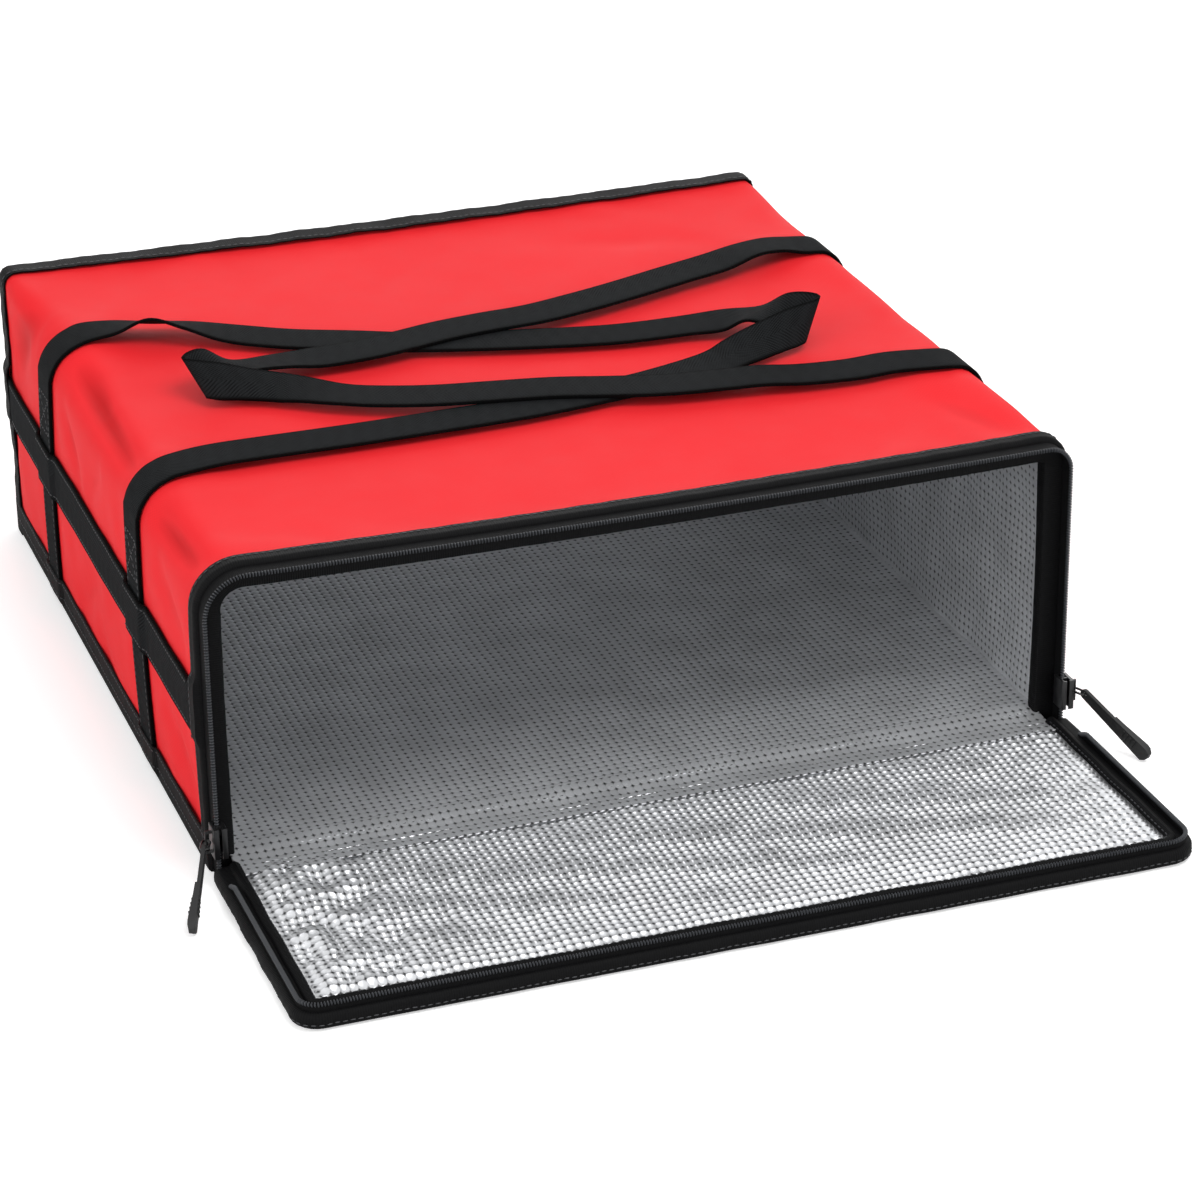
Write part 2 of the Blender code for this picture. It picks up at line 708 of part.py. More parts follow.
def pull_tab(word, side):
    """The flat tapered tab, on its edge, which slopes from the link's end to the ground."""
    eye = crown_place(side) + pull_direction(side) * (LINK_LENGTH + LINK_BEND_RADIUS)
    narrow = PULL_EYE_RADIUS + PULL_EYE_RIM
    wide = PULL_WIDTH / 2
    corner = PULL_LENGTH - PULL_CHAMFER
    drop = eye.z - GAP
    slope = math.asin(drop / math.hypot(corner, wide)) - math.atan2(wide, corner)
    outline = [(corner, -wide), (PULL_LENGTH, PULL_CHAMFER - wide)]
    outline += [(PULL_LENGTH, wide - PULL_CHAMFER), (corner, wide)]
    for step in range(WIRE_STEPS + 1):
        angle = math.pi / 2 + math.pi * step / WIRE_STEPS
        outline.append((narrow * math.cos(angle), narrow * math.sin(angle)))
    curve = bpy.data.curves.new(f"{word}_pull_tab", "CURVE")
    curve.dimensions = "2D"
    curve.fill_mode = "BOTH"
    curve.extrude = PULL_THICKNESS / 2
    add_loop(curve, outline)
    add_loop(curve, circle(0, PULL_EYE_RADIUS))
    add_loop(curve, circle(PULL_LENGTH - wide, PULL_END_HOLE_RADIUS))
    made = add_object(f"{word}_pull_tab", curve, black_rubber)
    ahead = pull_direction(side)
    forward = ahead * math.cos(slope) - Vector((0, 0, 1)) * math.sin(slope)
    upward = ahead * math.sin(slope) + Vector((0, 0, 1)) * math.cos(slope)
    turn = Matrix((forward, upward, forward.cross(upward))).transposed()
    return made, eye, turn


def circle(along, radius):
    turns = [2 * math.pi * step / HOLE_STEPS for step in range(HOLE_STEPS)]
    return [(along + radius * math.cos(a), radius * math.sin(a)) for a in turns]


def add_loop(curve, outline):
    """Adds one closed flat loop to a 2D curve. A loop inside another is a hole."""
    spline = curve.splines.new("POLY")
    spline.points.add(len(outline) - 1)
    for knot, point in zip(spline.points, outline):
        knot.co = (*point, 0, 1)
    spline.use_cyclic_u = True


def sliders_and_pulls():
    for word, side in (("left", -1), ("right", 1)):
        rail = empty(f"{word}_slider_rail", (side * (HALF_WIDTH - COIL_INSET), CLOSING_Y, SLIDER_FOOT))
        carry(slider(word, side), rail)
        swing = empty(f"{word}_pull_swing", crown_place(side), parent=rail)
        carry(pull_link(word, side), swing)
        tab, eye, turn = pull_tab(word, side)
        tilt = empty(f"{word}_pull_tilt", eye, turn.to_euler(), parent=swing)
        tab.parent = tilt


clear_scene()
bag_collection = new_collection("pizza_delivery_bag")
helper_collection = new_collection("helpers")
red_fabric = material("red_fabric", (0.80, 0.055, 0.060), 0.62, 0)
white_foam = material("white_foam", (0.86, 0.86, 0.84), 0.9, 0)
silver_foil = material("silver_foil", (0.72, 0.72, 0.73), 0.32, 1)
black_binding = material("black_binding", (0.012, 0.012, 0.013), 0.75, 0)
black_tape = material("black_tape", (0.016, 0.016, 0.017), 0.8, 0)
black_coil = material("black_coil", (0.02, 0.02, 0.021), 0.45, 0)
black_webbing = material("black_webbing", (0.026, 0.028, 0.030), 0.7, 0)
black_metal = material("black_metal", (0.02, 0.02, 0.02), 0.4, 1)
black_rubber = material("black_rubber", (0.014, 0.014, 0.014), 0.6, 0)

outer_shell()
foam_boards()
linings()
bindings()
body_zipper()
hinge_strip()
straps_and_bands()
flap()
handles()
sliders_and_pulls()
bpy.context.view_layer.update()
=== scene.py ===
import contextlib
import json
import math

import bpy
import numpy as np
from mathutils import Matrix, Vector


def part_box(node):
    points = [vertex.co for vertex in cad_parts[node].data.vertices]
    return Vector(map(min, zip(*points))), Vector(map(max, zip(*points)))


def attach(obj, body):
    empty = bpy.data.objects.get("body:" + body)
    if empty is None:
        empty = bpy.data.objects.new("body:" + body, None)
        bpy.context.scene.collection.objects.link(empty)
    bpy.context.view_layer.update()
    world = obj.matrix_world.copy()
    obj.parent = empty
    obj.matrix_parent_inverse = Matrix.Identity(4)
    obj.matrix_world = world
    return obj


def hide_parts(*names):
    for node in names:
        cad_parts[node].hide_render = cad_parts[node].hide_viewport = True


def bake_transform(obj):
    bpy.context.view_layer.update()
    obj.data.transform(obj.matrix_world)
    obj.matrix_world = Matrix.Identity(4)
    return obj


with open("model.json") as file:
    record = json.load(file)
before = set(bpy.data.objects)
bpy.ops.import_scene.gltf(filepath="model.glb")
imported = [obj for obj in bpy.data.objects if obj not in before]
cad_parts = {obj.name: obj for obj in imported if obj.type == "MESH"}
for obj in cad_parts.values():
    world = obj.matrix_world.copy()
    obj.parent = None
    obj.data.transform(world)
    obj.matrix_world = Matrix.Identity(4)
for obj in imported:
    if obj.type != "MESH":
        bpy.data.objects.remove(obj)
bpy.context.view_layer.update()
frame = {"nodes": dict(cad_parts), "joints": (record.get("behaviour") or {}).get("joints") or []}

bl_info = {
    "name": "Insulated delivery bag",
    "version": (1, 0, 0),
    "blender": (4, 5, 0),
    "location": "View3D > Sidebar > Delivery bag",
    "description": "Builds the bag's shell, linings, straps, zipper and flap round the frame",
    "category": "Add Mesh",
}

# All lengths are in metres.
SLEEVE_LOW, SLEEVE_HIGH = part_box("outer_sleeve")
BACK_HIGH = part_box("back_panel")[1]
COIL_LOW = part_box("body_zipper_coil")[0]
HINGE = next(j for j in frame["joints"] if j["name"] == "flap_hinge")["pos_m"]
SIDES = (("left", -1), ("right", 1))

# Thickness of each layer, and the gap between two layers
FABRIC = 0.0008
FOIL = 0.0006
BINDING = 0.0008
TAPE = 0.0006
HINGE_CLOTH = 0.0010
GAP = 0.0003

# Places in the wall, as insets from the body's outer face
LINING_INSET = 0.0070
COIL_INSET = 0.0015
FLAP_INSET = 0.0085
BINDING_REACH = 0.0011
BINDING_MIDDLE = BINDING_REACH - BINDING / 2
LEAST_RADIUS = 0.0006

# Heights of the sleeve's foot, the lining's foot and the middle of the level bands
SHELL_FOOT = 0.0012
LINING_FOOT = 0.0066
BAND_HEIGHT = 0.0795

# Depth of each side strap's middle at the top and at the foot
STRAP_PLACES = {
    (-1, "rear"): (0.0981, 0.1119),
    (-1, "front"): (-0.0840, -0.0901),
    (1, "rear"): (0.0851, 0.0949),
    (1, "front"): (-0.0901, -0.0949),
}


# Values that a user would change


def linear(code):
    """Linear light values of an sRGB hex colour."""
    channels = [int(code[i : i + 2], 16) / 255 for i in (1, 3, 5)]
    return tuple(c / 12.92 if c <= 0.04045 else ((c + 0.055) / 1.055) ** 2.4 for c in channels)


def length(label, note, value):
    return bpy.props.FloatProperty(
        name=label, description=note, default=value, unit="LENGTH", precision=5
    )


def colour(label, note, code):
    return bpy.props.FloatVectorProperty(
        name=label, description=note, default=linear(code), subtype="COLOR", size=3, min=0, max=1
    )


class BagSizes(bpy.types.PropertyGroup):
    """Sizes of the bag's soft pieces"""

    width: length("Width", "Outer width of the body", 2 * SLEEVE_HIGH.x)
    depth: length("Depth", "Outer depth of the body", 2 * BACK_HIGH.y)
    height: length("Height", "Outer height of the body", SLEEVE_HIGH.z)
    left_radius: length("Left rounding", "Rounding of the top's left edge at the mouth", 0.022)
    right_radius: length("Right rounding", "Rounding of the top's right edge at the mouth", 0.0130)
    back_radius: length("Back rounding", "Rounding of both edges at the back seam", 0.0055)
    flap_left: length("Flap's left rounding", "Rounding of the flap's left corner", 0.0105)
    flap_right: length("Flap's right rounding", "Rounding of the flap's right corner", 0.0130)
    top_sag: length("Top sag", "How far the middle of the top hangs down", 0.0035)
    mouth_sag: length("Mouth sag", "How far the mouth's upper edge hangs down", 0.0012)
    side_bulge: length("Side bulge", "How far each side swells outwards", 0.0014)
    web_width: length("Webbing width", "Width of the straps, bands and handles", 0.025)
    web: length("Webbing thickness", "Thickness of the webbing", 0.0016)
    foil_pitch: length("Foil pitch", "Distance between the foil's embossed lines", 0.0042)
    stitch_pitch: length("Stitch pitch", "Distance between two stitches", 0.0034)
    coil_pitch: length("Coil pitch", "Distance between two turns of the zipper coil", 0.0014)


class BagColours(bpy.types.PropertyGroup):
    """Colours of the bag's materials"""

    fabric: colour("Outer fabric", "Coated woven polyester of the shell", "#EC2A30")
    foil: colour("Foil", "Metallised film of the linings", "#F6F7F9")
    webbing: colour("Webbing", "Woven polypropylene straps and handles", "#121314")
    binding: colour("Binding", "Woven tape over the raw edges", "#080809")
    tape: colour("Zipper tape", "Woven tape of the zipper", "#0B0B0C")
    coil: colour("Zipper coil", "Moulded nylon coil", "#303236")
    metal: colour("Slider enamel", "Enamelled zinc of sliders and links", "#121213")
    rubber: colour("Pull", "Moulded rubber of the pull tabs", "#0C0C0D")
    thread: colour("Thread", "Sewing thread", "#2A2B2E")


def sizes():
    return bpy.context.scene.bag_sizes


def colours():
    return bpy.context.scene.bag_colours


# Shape of the soft body

# Waviness: how many waves, the shortest one, how much longer each next one is, and how far
# each turns and shifts against the one before
WAVES, SHORTEST_WAVE, WAVE_STEP, WAVE_TURN, WAVE_SHIFT = 5, 0.021, 0.013, 2.4, 1.7

# The sag and the swelling fade in from a start over a length, and towards the ends at a rate.
SAG_START, SAG_FADE = 0.07, 0.06
SWELL_START, SWELL_FADE, SWELL_RATE = 0.15, 0.05, 4

# The top's edges change from the mouth's rounding to the back's over the last fifth of the depth.
ROUNDING_RATE = 5

# Soft valleys in the shell: two ends, depth and half width. Their depth also darkens the fabric as
# painted shade.
VALLEYS = (
    ((-0.2015, 0.084, 0.1455), (-0.2048, -0.072, 0.1420), 0.0042, 0.0062),
    ((-0.192, 0.082, 0.150), (-0.200, 0.010, 0.146), 0.0016, 0.0080),
    ((-0.2072, -0.104, 0.1385), (-0.2036, -0.186, 0.1432), 0.0036, 0.0060),
    ((-0.150, 0.020, 0.150), (-0.176, -0.060, 0.150), 0.0012, 0.0150),
    ((-0.2090, 0.192, 0.108), (-0.2050, 0.134, 0.144), 0.0036, 0.0150),
    ((-0.2095, 0.070, 0.130), (-0.2095, 0.030, 0.096), 0.0018, 0.0070),
    ((-0.2095, -0.020, 0.125), (-0.2095, 0.020, 0.098), 0.0016, 0.0070),
    ((-0.2095, -0.120, 0.120), (-0.2095, -0.180, 0.100), 0.0018, 0.0080),
    ((-0.2095, 0.000, 0.060), (-0.2095, 0.060, 0.020), 0.0016, 0.0070),
    ((-0.2095, -0.130, 0.055), (-0.2095, -0.180, 0.025), 0.0016, 0.0080),
    ((0.060, 0.160, 0.150), (0.180, 0.120, 0.150), 0.0012, 0.0120),
    ((0.170, -0.110, 0.150), (0.196, -0.190, 0.148), 0.0018, 0.0100),
    ((0.2095, 0.050, 0.130), (0.2095, 0.000, 0.098), 0.0018, 0.0080),
    ((0.2095, -0.030, 0.060), (0.2095, 0.030, 0.025), 0.0016, 0.0080),
)
VALLEY_TAPER = 0.8


def smooth(t):
    """Smooth step from 0 to 1."""
    t = np.clip(t, 0, 1)
    return t * t * (3 - 2 * t)


def hump(t, middle, half, fade):
    """1 within half of the middle, falling smoothly to 0 over the fade."""
    return 1 - smooth((np.abs(t - middle) - half) / fade)


def ripple(a, b, seed):
    """Gentle waviness between -1 and 1 over two coordinates."""
    total = np.zeros(np.broadcast(a, b).shape)
    for k in range(WAVES):
        turn = seed + WAVE_TURN * k
        wave = 2 * math.pi / (SHORTEST_WAVE + WAVE_STEP * k)
        total += np.sin(wave * (a * math.cos(turn) + b * math.sin(turn)) + WAVE_SHIFT * turn)
    return total / WAVES


def rounding(side, y):
    """Radius of the top's left (-1) or right (+1) edge at a depth."""
    s = sizes()
    mouth = s.left_radius if side < 0 else s.right_radius
    ahead = (s.depth / 2 - y) / s.depth
    middle = s.back_radius + (mouth - s.back_radius) * smooth(ahead * ROUNDING_RATE)
    return np.maximum(middle, s.back_radius)


def flap_rounding(side, y):
    """Radius of the flap's left (-1) or right (+1) corner."""
    s = sizes()
    return (s.flap_left if side < 0 else s.flap_right) + 0 * y


def girth(side, y, rounded=rounding):
    """Length over the shell from the foot of one side to the middle of the top."""
    s = sizes()
    r = rounded(side, y)
    return s.height - r + math.pi / 2 * r + s.width / 2 - r


def around_body(y=0):
    """Length over the body from one foot to the other, with the left edge's rounding."""
    return 2 * float(girth(-1, y))


def wrap(side, q, y, inset, rounded=rounding):
    """Points on the body at a length q up one side and over the top, as an (n, 3) array."""
    s = sizes()
    side, q, y, inset = np.broadcast_arrays(side, q, y, inset)
    outer = np.where(side < 0, rounded(-1, y), rounded(1, y))
    inner = np.maximum(outer - inset, LEAST_RADIUS)
    turn = np.clip((q - (s.height - outer)) / outer, 0, math.pi / 2)
    left = np.maximum(q - (s.height - outer) - math.pi / 2 * outer, 0)
    x = s.width / 2 - inset - inner * (1 - np.cos(turn)) - left
    z = np.where(turn > 0, s.height - inset - inner * (1 - np.sin(turn)), q)
    return np.stack([side * x, y, z], axis=-1)


def settle(points):
    """The body's soft shape: the top hangs down a little and the sides swell."""
    s = sizes()
    x, y, z = points.T
    across = np.clip(1 - (2 * x / s.width) ** 2, 0, 1)
    along = np.clip(1 - (2 * y / s.depth) ** 2, 0, 1)
    high = smooth((z - SAG_START) / SAG_FADE)
    side = smooth((np.abs(x) - SWELL_START) / SWELL_FADE)
    belly = np.sin(math.pi * np.clip(z / s.height, 0, 1))
    moved = points.copy()
    moved[:, 2] -= high * across * (s.top_sag * np.sqrt(along) + s.mouth_sag * (1 - along))
    moved[:, 0] += np.sign(x) * side * belly * s.side_bulge * smooth(along * SWELL_RATE)
    return moved


def dent(points):
    """How far the shell is pressed in at each point by the valleys."""
    total = np.zeros(len(points))
    for a, b, deep, half in VALLEYS:
        a, b = np.array(a), np.array(b)
        t = np.clip(((points - a) @ (b - a)) / ((b - a) @ (b - a)), 0, 1)
        far = np.linalg.norm(points - a - t[:, None] * (b - a), axis=1)
        total += deep * np.exp(-((far / half) ** 2)) * np.sin(math.pi * t) ** VALLEY_TAPER
    return total


def over(u, y, inset, foot=0.0, rounded=rounding):
    """The body's surface for u from 0 at the left foot over the top to 1 at the right foot."""
    side = np.where(u < 0.5, -1, 1)
    share = 1 - np.abs(2 * u - 1)
    full = np.where(side < 0, girth(-1, y, rounded), girth(1, y, rounded))
    return wrap(side, foot + share * (full - foot), y, inset, rounded)


def flap_at(u, inset, h):
    """The flap lying open: u runs from its left foot round the outer edge to its right foot."""
    s = sizes()
    mouth = np.full_like(u, -s.depth / 2)
    closed = over(u, mouth, inset, HINGE[2] + GAP, flap_rounding)
    return np.stack([closed[:, 0], HINGE[1] - (closed[:, 2] - HINGE[2]), h + 0 * u], axis=-1)


# Making meshes

SMOOTH_ANGLE = math.radians(40)


def pick(piece, *others):
    """Selects some pieces only, and makes the first one active."""
    bpy.ops.object.select_all(action="DESELECT")
    for one in (piece, *others):
        one.select_set(True)
    bpy.context.view_layer.objects.active = piece


@contextlib.contextmanager
def editing(piece):
    """Edit mode with all of a piece selected."""
    pick(piece)
    bpy.ops.object.mode_set(mode="EDIT")
    bpy.ops.mesh.select_all(action="SELECT")
    yield
    bpy.ops.object.mode_set(mode="OBJECT")


def primitive(operator, **settings):
    """A new primitive, with everything else deselected."""
    bpy.ops.object.select_all(action="DESELECT")
    operator(**settings)
    return bpy.context.object


def resize(size):
    bpy.ops.transform.resize(value=size, center_override=(0, 0, 0))


def apply_all(piece):
    pick(piece)
    for modifier in list(piece.modifiers):
        bpy.ops.object.modifier_apply(modifier=modifier.name)


def bevel(piece, width, segments, sharp):
    """Rounds the edges that are sharper than an angle in degrees."""
    soft = piece.modifiers.new("Edge", "BEVEL")
    soft.width = width
    soft.segments = segments
    soft.limit_method = "ANGLE"
    soft.angle_limit = math.radians(sharp)


def subdivide(piece, levels):
    finer = piece.modifiers.new("Finer", "SUBSURF")
    finer.levels = finer.render_levels = levels
    apply_all(piece)


def coordinates(mesh):
    flat = np.empty(len(mesh.vertices) * 3, np.float32)
    mesh.vertices.foreach_get("co", flat)
    return flat.reshape(-1, 3).astype(float)


def normals_of(mesh):
    flat = np.empty(len(mesh.vertices) * 3, np.float32)
    mesh.vertices.foreach_get("normal", flat)
    return flat.reshape(-1, 3)


def place_points(mesh, points):
    mesh.vertices.foreach_set("co", np.asarray(points, np.float32).ravel())
    mesh.update()


def keep_between(piece, low, high=np.inf):
    """Brings a piece's points between two heights."""
    points = coordinates(piece.data)
    points[:, 2] = np.clip(points[:, 2], low, high)
    place_points(piece.data, points)


def grid(name, columns, rows, place, cloth, turned=False):
    """An open sheet from a grid primitive. place(u, v) gives its points. Its UV map is in metres,
    and is turned where the sheet's first axis is the length of a tape."""
    piece = primitive(
        bpy.ops.mesh.primitive_grid_add, x_subdivisions=columns, y_subdivisions=rows, size=2
    )
    piece.name = piece.data.name = name
    flat = coordinates(piece.data)
    uv = piece.data.uv_layers[0]
    uv.name = "cloth"
    values = np.empty(len(uv.data) * 2, np.float32)
    uv.data.foreach_get("uv", values)
    values = values.reshape(-1, 2) * np.array(cloth, np.float32)
    uv.data.foreach_set("uv", (values[:, ::-1] if turned else values).ravel())
    place_points(piece.data, place((flat[:, 0] + 1) / 2, (flat[:, 1] + 1) / 2))
    return piece


def uv_points(mesh):
    """The UV place of each point of a sheet."""
    uv = np.empty(len(mesh.loops) * 2, np.float32)
    mesh.uv_layers["cloth"].data.foreach_get("uv", uv)
    corner = np.empty(len(mesh.loops), np.int32)
    mesh.loops.foreach_get("vertex_index", corner)
    place = np.zeros((len(mesh.vertices), 2))
    place[corner] = uv.reshape(-1, 2)
    return place


def dress(piece, material, body=None, nodes=()):
    """Finishes a piece: smooth faces, material, the nodes it stands for and its body."""
    pick(piece)
    bpy.ops.object.shade_smooth_by_angle(angle=SMOOTH_ANGLE)
    piece.data.materials.clear()
    piece.data.materials.append(material())
    if nodes:
        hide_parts(*nodes)
    if body:
        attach(piece, body)
    return piece


def finish(piece, thickness, material, body=None, nodes=(), edge=0.0):
    """Gives an open sheet its thickness, half to each side, rounds its cut edges, turns its
    faces outwards and dresses it."""
    wall = piece.modifiers.new("Thickness", "SOLIDIFY")
    wall.thickness = thickness
    wall.offset = 0
    wall.use_even_offset = False
    if edge:
        bevel(piece, edge, 2, 50)
    apply_all(piece)
    with editing(piece):
        bpy.ops.mesh.normals_make_consistent(inside=False)
    return dress(piece, material, body, nodes)


# Lines of stitches and of coil turns

# Half sizes of one stitch and of one turn of the coil: along the line, across it and upwards
STITCH = (0.00125, 0.00032, 0.00026)
COIL_TURN = (0.00046, 0.00125, 0.00122)

# The middle of the open flap
FLAP_MIDDLE = (0, -0.24, 0.005)


def lengths_along(points):
    """The length along a line at each of its points."""
    steps = np.linalg.norm(np.diff(points, axis=0), axis=1)
    return np.concatenate([[0], np.cumsum(steps)])


def rows_at(where, far, rows):
    """Rows of numbers, known at some lengths along a line, read at other lengths."""
    return np.stack([np.interp(where, far, column) for column in rows.T], axis=-1)


def frames_along(points, normals, pitch):
    """Origins, directions and normals at equal distances along a dense line."""
    far = lengths_along(points)
    count = max(int(far[-1] / pitch), 1)
    at = (np.arange(count) + 0.5) * far[-1] / count
    along = rows_at(at + pitch / 4, far, points) - rows_at(at - pitch / 4, far, points)
    along /= np.linalg.norm(along, axis=1)[:, None]
    up = rows_at(at, far, normals)
    up -= (up * along).sum(1)[:, None] * along
    up /= np.linalg.norm(up, axis=1)[:, None]
    return rows_at(at, far, points), along, up


def from_body(points):
    return points - np.array([0, 0, sizes().height / 2])


def from_flap(points):
    return points - np.array(FLAP_MIDDLE)


def upwards(points):
    return np.array([0, 0, 1])


def seam(place, u, v, away):
    """A dense line on a surface, with its normals on the side that away(points) shows."""
    small = 1e-4
    u, v = (np.array(one, float) for one in np.broadcast_arrays(u, v))
    points = place(u, v)
    across = place(np.clip(u + small, 0, 1), v) - place(np.clip(u - small, 0, 1), v)
    ahead = place(u, np.clip(v + small, 0, 1)) - place(u, np.clip(v - small, 0, 1))
    normals = np.cross(across, ahead)
    normals /= np.maximum(np.linalg.norm(normals, axis=1)[:, None], 1e-12)
    return points, normals * np.sign((normals * away(points)).sum())


def repeat(name, model, spots, along, up, lift=0.0):
    """Copies a small model, whose own X runs along the line and Z stands up from it, to each
    spot, and removes the model."""
    shape = coordinates(model.data)
    side = np.cross(up, along)
    turned = (
        shape[None, :, 0:1] * along[:, None]
        + shape[None, :, 1:2] * side[:, None]
        + (shape[None, :, 2:3] + lift) * up[:, None]
        + spots[:, None]
    )
    corners = [tuple(p.vertices) for p in model.data.polygons]
    count = len(shape)
    faces = [[k + n * count for k in c] for n in range(len(spots)) for c in corners]
    mesh = bpy.data.meshes.new(name)
    mesh.from_pydata(turned.reshape(-1, 3).tolist(), [], faces)
    mesh.update()
    piece = bpy.data.objects.new(name, mesh)
    bpy.context.scene.collection.objects.link(piece)
    bpy.data.objects.remove(model)
    return piece


def stitch_model():
    """One stitch: a short plump thread, pointed at both ends."""
    model = primitive(bpy.ops.mesh.primitive_uv_sphere_add, segments=6, ring_count=4, radius=1)
    with editing(model):
        bpy.ops.transform.rotate(value=math.pi / 2, orient_axis="Y", center_override=(0, 0, 0))
        resize(STITCH)
    return model


def sew(name, lines, body, lift):
    """One piece of stitches along several lines, each a pair of points and normals."""
    sets = [frames_along(points, normals, sizes().stitch_pitch) for points, normals in lines]
    spots, along, up = (np.concatenate([one[k] for one in sets]) for k in range(3))
    return dress(repeat(name, stitch_model(), spots, along, up, lift), bonded_thread, body)


def coil_tooth():
    """One turn of the coil: a bent filament with a rounded head towards the other half."""
    model = primitive(bpy.ops.mesh.primitive_uv_sphere_add, segments=8, ring_count=5, radius=1)
    with editing(model):
        resize(COIL_TURN)
    points = coordinates(model.data)
    head = smooth(points[:, 1] / 0.0012 + 0.5)
    points[:, 2] *= 0.72 + 0.34 * head
    points[:, 0] += 0.00022 * np.sign(points[:, 2]) * (1 - head)
    place_points(model.data, points)
    return model


def coil_row(name, line, body, node, flip):
    """A row of coil turns. line(inset) gives its points at an inset from the outer face."""
    points, deeper = line(COIL_INSET), line(COIL_INSET + 0.001)
    spots, along, up = frames_along(points, points - deeper, sizes().coil_pitch)
    return dress(repeat(name, coil_tooth(), spots, along * flip, up), nylon_coil, body, (node,))


# Materials


def feed(tree, node, inputs):
    """Sets a node's inputs, or links them to sockets or to the first output of other nodes."""
    for key, value in inputs.items():
        if isinstance(value, bpy.types.Node):
            value = value.outputs[0]
        if isinstance(value, bpy.types.NodeSocket):
            tree.links.new(value, node.inputs[key])
        else:
            node.inputs[key].default_value = value


def add(tree, kind, inputs=None, **settings):
    """Adds a shader node with its settings and its inputs."""
    made = tree.nodes.new("ShaderNode" + kind)
    for key, value in settings.items():
        setattr(made, key, value)
    feed(tree, made, inputs or {})
    return made


def new_material(name):
    """A new material with its Principled shader. One that was made before comes with no tree."""
    if name in bpy.data.materials:
        return bpy.data.materials[name], None, None
    material = bpy.data.materials.new(name)
    material.use_nodes = True
    tree = material.node_tree
    return material, tree, tree.nodes["Principled BSDF"]


def shade(base, factor):
    """A lighter or darker tone of a colour."""
    return (*(min(c * factor, 1) for c in base), 1)


def wave(tree, coordinate, pitch):
    """A sine wave along one coordinate."""
    phase = add(tree, "Math", {0: coordinate, 1: 2 * math.pi / pitch}, operation="MULTIPLY")
    return add(tree, "Math", {0: phase}, operation="SINE")


def woven(tree, cloth, pitch):
    """Height of a plain weave: threads over and under each other."""
    parts = add(tree, "SeparateXYZ", {0: cloth})
    waves = [wave(tree, parts.outputs[axis], 2 * pitch) for axis in ("X", "Y")]
    product = add(tree, "Math", {0: waves[0], 1: waves[1]}, operation="MULTIPLY")
    return add(tree, "Math", {0: product, 1: 0.5, 2: 0.5}, operation="MULTIPLY_ADD")


def coated_polyester():
    """Woven polyester with a thin coating: a soft sheen over fine threads and slight wear, with
    shade painted into its deep folds.
    """
    material, tree, shader = new_material("coated_woven_polyester")
    if tree is None:
        return material
    base = tuple(colours().fabric)
    cloth = add(tree, "UVMap", uv_map="cloth")
    # Threads lie 0.5 mm apart and are drawn 1 mm apart, so that they show.
    weave = woven(tree, cloth, 0.0010)
    place = add(tree, "TexCoord").outputs["Object"]
    cloud = add(tree, "TexNoise", {"Vector": place, "Scale": 9, "Detail": 3})
    rub = add(tree, "TexNoise", {"Vector": place, "Scale": 60, "Detail": 4})
    mixed = add(tree, "Math", {0: cloud, 1: 0.7, 2: 0.15}, operation="MULTIPLY_ADD")
    ends = {"Color1": shade(base, 0.90), "Color2": shade(base, 1.06)}
    tone = add(tree, "MixRGB", {"Fac": mixed, **ends})
    ends = {"Color1": shade(base, 0.7), "Color2": shade(base, 1)}
    grain = add(tree, "MixRGB", {"Fac": weave, **ends})
    threads = add(tree, "MixRGB", {"Fac": 0.22, "Color1": tone, "Color2": grain})
    # Painted shade: the tone falls to a deep red with the "fold" depth in metres, standing in for
    # the shade that falls in deep folds.
    fold = add(tree, "Attribute", attribute_name="fold").outputs["Fac"]
    reach = {"From Min": 0.0012, "From Max": 0.0042, "To Max": 0.7}
    depth = add(tree, "MapRange", {"Value": fold, **reach})
    # Colour of the painted shade in the deepest folds
    dark = (0.52 * base[0], 0.2 * base[1], 0.2 * base[2], 1)
    folded = add(tree, "MixRGB", {"Fac": depth, "Color1": threads, "Color2": dark})
    rough = add(tree, "MapRange", {"Value": rub, "To Min": 0.52, "To Max": 0.66})
    height = add(tree, "Math", {0: cloud, 1: 4, 2: weave}, operation="MULTIPLY_ADD")
    bump = add(tree, "Bump", {"Strength": 0.25, "Distance": 0.00012, "Height": height})
    feed(tree, shader, {"Base Color": folded, "Roughness": rough, "Normal": bump, "IOR": 1.15})
    return material


